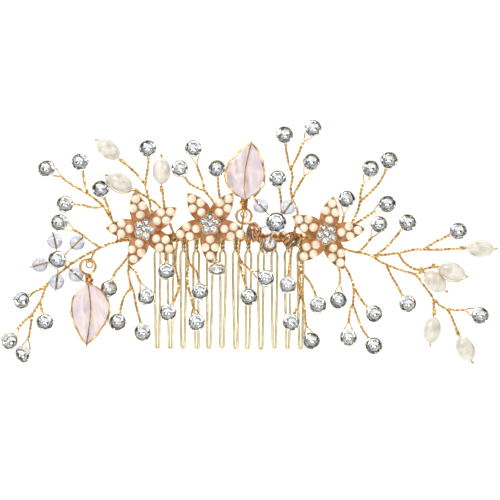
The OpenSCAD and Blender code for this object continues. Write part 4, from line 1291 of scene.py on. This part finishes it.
class HAIRCOMB_OT_clusters(bpy.types.Operator):
    """Wire the two crystal clusters and the hooks that carry the leaves"""

    bl_idname = "haircomb.clusters"
    bl_label = "Crystal clusters"

    def bead(self, diameter):
        """A faceted bead along +Z: flat ends, long facets and a cut waist."""
        bm = bmesh.new()
        facet(bm, BEAD, 10, diameter)
        return to_mesh(bm, "bead", shaded_smooth=False)

    def net(self, centre, axis, radius, rng):
        """Loops of fine wire thrown over a bead."""
        axis = Vector(axis).normalized()
        made = []
        for k in range(5):
            lean = (axis + Vector([rng.uniform(-0.5, 0.5) for _ in range(3)])).normalized()
            across = lean.cross(axis + Vector((0.3, 0.1, 0.5))).normalized()
            start = (lean.cross(across) * 0.4 + across).normalized()
            made.append(coil(
                centre, across.cross(start), start, 1.05, 0.3 * MM, (radius, radius), per_turn=22))
        return made

    def hook(self, bm, wire, leaf, back, foot):
        """The pin through a leaf's eye with its ball end, the loop behind it and the leg it stands on."""
        x, z, lift = LEAVES[leaf][:3]
        pin = spot(x, z, 0) + Vector((0, 0, HOOK_DROP))
        front = pin + Vector((0, -(lift + 0.95) * MM, 0))
        start = pin + Vector((0, -back * MM, 0))
        route = [foot, start + Vector((0, 0.4 * MM, 0)), start, front]
        add_wires(bm, [smooth(route, 0.5 * MM)], 0.36 * MM)
        add_ball(bm, front, 0.62 * MM, fine=3)
        ring = coil(start - Vector((0, 0.3 * MM, 0.9 * MM)), (0, -1, 0), (0, 0, 1), 1.7, 0.25 * MM,
                    (0.95 * MM, 0.95 * MM), per_turn=20)
        # The loop behind the pin takes the deeper orange wire: painted shade
        add_wires(bm, [ring], wire.fine_d / 2, material=1)

    def execute(self, context):
        jewels, wire = context.scene.haircomb_jewels, context.scene.haircomb_wire
        bead = self.bead(jewels.bead_d)
        feet = {
            "left_cluster": ("low_leaf", 2.4, spot(-40, -3.8, 1.6)),
            "middle_cluster": ("top_leaf", 1.0, Vector((3.5 * MM, -SPINE_R, 0))),
        }
        settings, stones = bmesh.new(), bmesh.new()
        for i, (name, parts) in enumerate(CLUSTERS.items()):
            rng = random.Random(SEED + 70 + i)
            hub = spot(*parts["hub"])
            beads, wires = bmesh.new(), bmesh.new()
            paths = []
            for k, at in enumerate(parts["beads"]):
                centre = spot(*at)
                out = (centre - hub).normalized()
                place = along(centre, out) @ Matrix.Rotation(rng.uniform(0, 1), 4, "Z")
                add_copies(beads, bead, [place])
                tip = centre + out * (jewels.bead_d / 2 + 0.35 * MM)
                paths.append(smooth([hub, (hub + centre) / 2, centre, tip], 0.8 * MM))
                add_ball(wires, tip, wire.fine_d * 0.9)
                paths.append(coil(hub + out * 0.9 * MM, out, Vector((0, 1, 0)), 4, 0.45 * MM,
                                  (0.5 * MM, 0.5 * MM), per_turn=12))
                if k in parts["netted"]:
                    # The nets use the deeper orange wire of painted shade
                    add_wires(wires, self.net(centre, out, jewels.bead_d / 2 + 0.12 * MM, rng), 0.2 * MM,
                              sides_more=1, material=1)
            paths.append(coil(hub + Vector((0, 0.8 * MM, 0)), (0, -1, 0), (1, 0, 0), 5, 0.4 * MM,
                              (1.1 * MM, 1.1 * MM), rng))
            paths.append([hub, spot(*parts["foot"])])
            girdle = spot(parts["hub"][0], parts["hub"][1], CLUSTER_GIRDLE)
            paths.append([hub, girdle + Vector((0, jewels.setting_depth, 0))])
            add_wires(wires, paths, wire.fine_d / 2)
            self.hook(wires, wire, *feet[name])
            seat = facing_front(girdle, rng.uniform(0, 40))
            size = parts["stone"] * MM
            add_copies(settings, cup(size, jewels.setting_wall, jewels.setting_depth, prongs=6), [seat])
            add_copies(stones, brilliant(size, folds=10), [seat])
            show(f"{name}_cut_beads", beads, "comb", [finish("bead_glass")], [f"{name}_beads"])
            show(f"{name}_bent_wires", wires, "comb",
                 [finish("gold_plated_wire"), finish("painted_shade_gold_wire")], [f"{name}_wires"])
        show("cluster_cups", settings, "comb",
             [finish("silver_gilt_cup"), finish("silver_foil")], ["cluster_settings"])
        show("cluster_cut_stones", stones, "comb",
             [finish("rhinestone_glass"), finish("silver_foil")], ["cluster_stones"])
        return {"FINISHED"}


class HAIRCOMB_PT_panel(bpy.types.Panel):
    """The comb's pieces, with the sizes and colours behind them"""

    bl_idname = "HAIRCOMB_PT_panel"
    bl_label = "Hair Comb"
    bl_space_type = "VIEW_3D"
    bl_region_type = "UI"
    bl_category = "Hair Comb"

    def draw(self, context):
        for operator in OPERATORS:
            self.layout.operator(operator.bl_idname)
        for group in GROUPS:
            values = getattr(context.scene, group)
            for name in values.__annotations__:
                self.layout.prop(values, name)


GROUPS = {
    "haircomb_wire": HAIRCOMB_PG_wire,
    "haircomb_jewels": HAIRCOMB_PG_jewels,
    "haircomb_finish": HAIRCOMB_PG_finish,
}
OPERATORS = [
    HAIRCOMB_OT_stage,
    HAIRCOMB_OT_tines,
    HAIRCOMB_OT_binding,
    HAIRCOMB_OT_stems,
    HAIRCOMB_OT_rhinestones,
    HAIRCOMB_OT_flowers,
    HAIRCOMB_OT_rice_pearls,
    HAIRCOMB_OT_leaves,
    HAIRCOMB_OT_clusters,
]


def register():
    for group in GROUPS.values():
        bpy.utils.register_class(group)
    for operator in [*OPERATORS, HAIRCOMB_PT_panel]:
        bpy.utils.register_class(operator)
    for name, group in GROUPS.items():
        setattr(bpy.types.Scene, name, PointerProperty(type=group))


def unregister():
    for name in GROUPS:
        delattr(bpy.types.Scene, name)
    for made in [HAIRCOMB_PT_panel, *OPERATORS, *GROUPS.values()]:
        bpy.utils.unregister_class(made)


def main():
    """Build every piece in order."""
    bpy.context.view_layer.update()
    register()
    for operator in OPERATORS:
        group, name = operator.bl_idname.split(".")
        getattr(getattr(bpy.ops, group), name)()


if __name__ == "__main__":
    main()
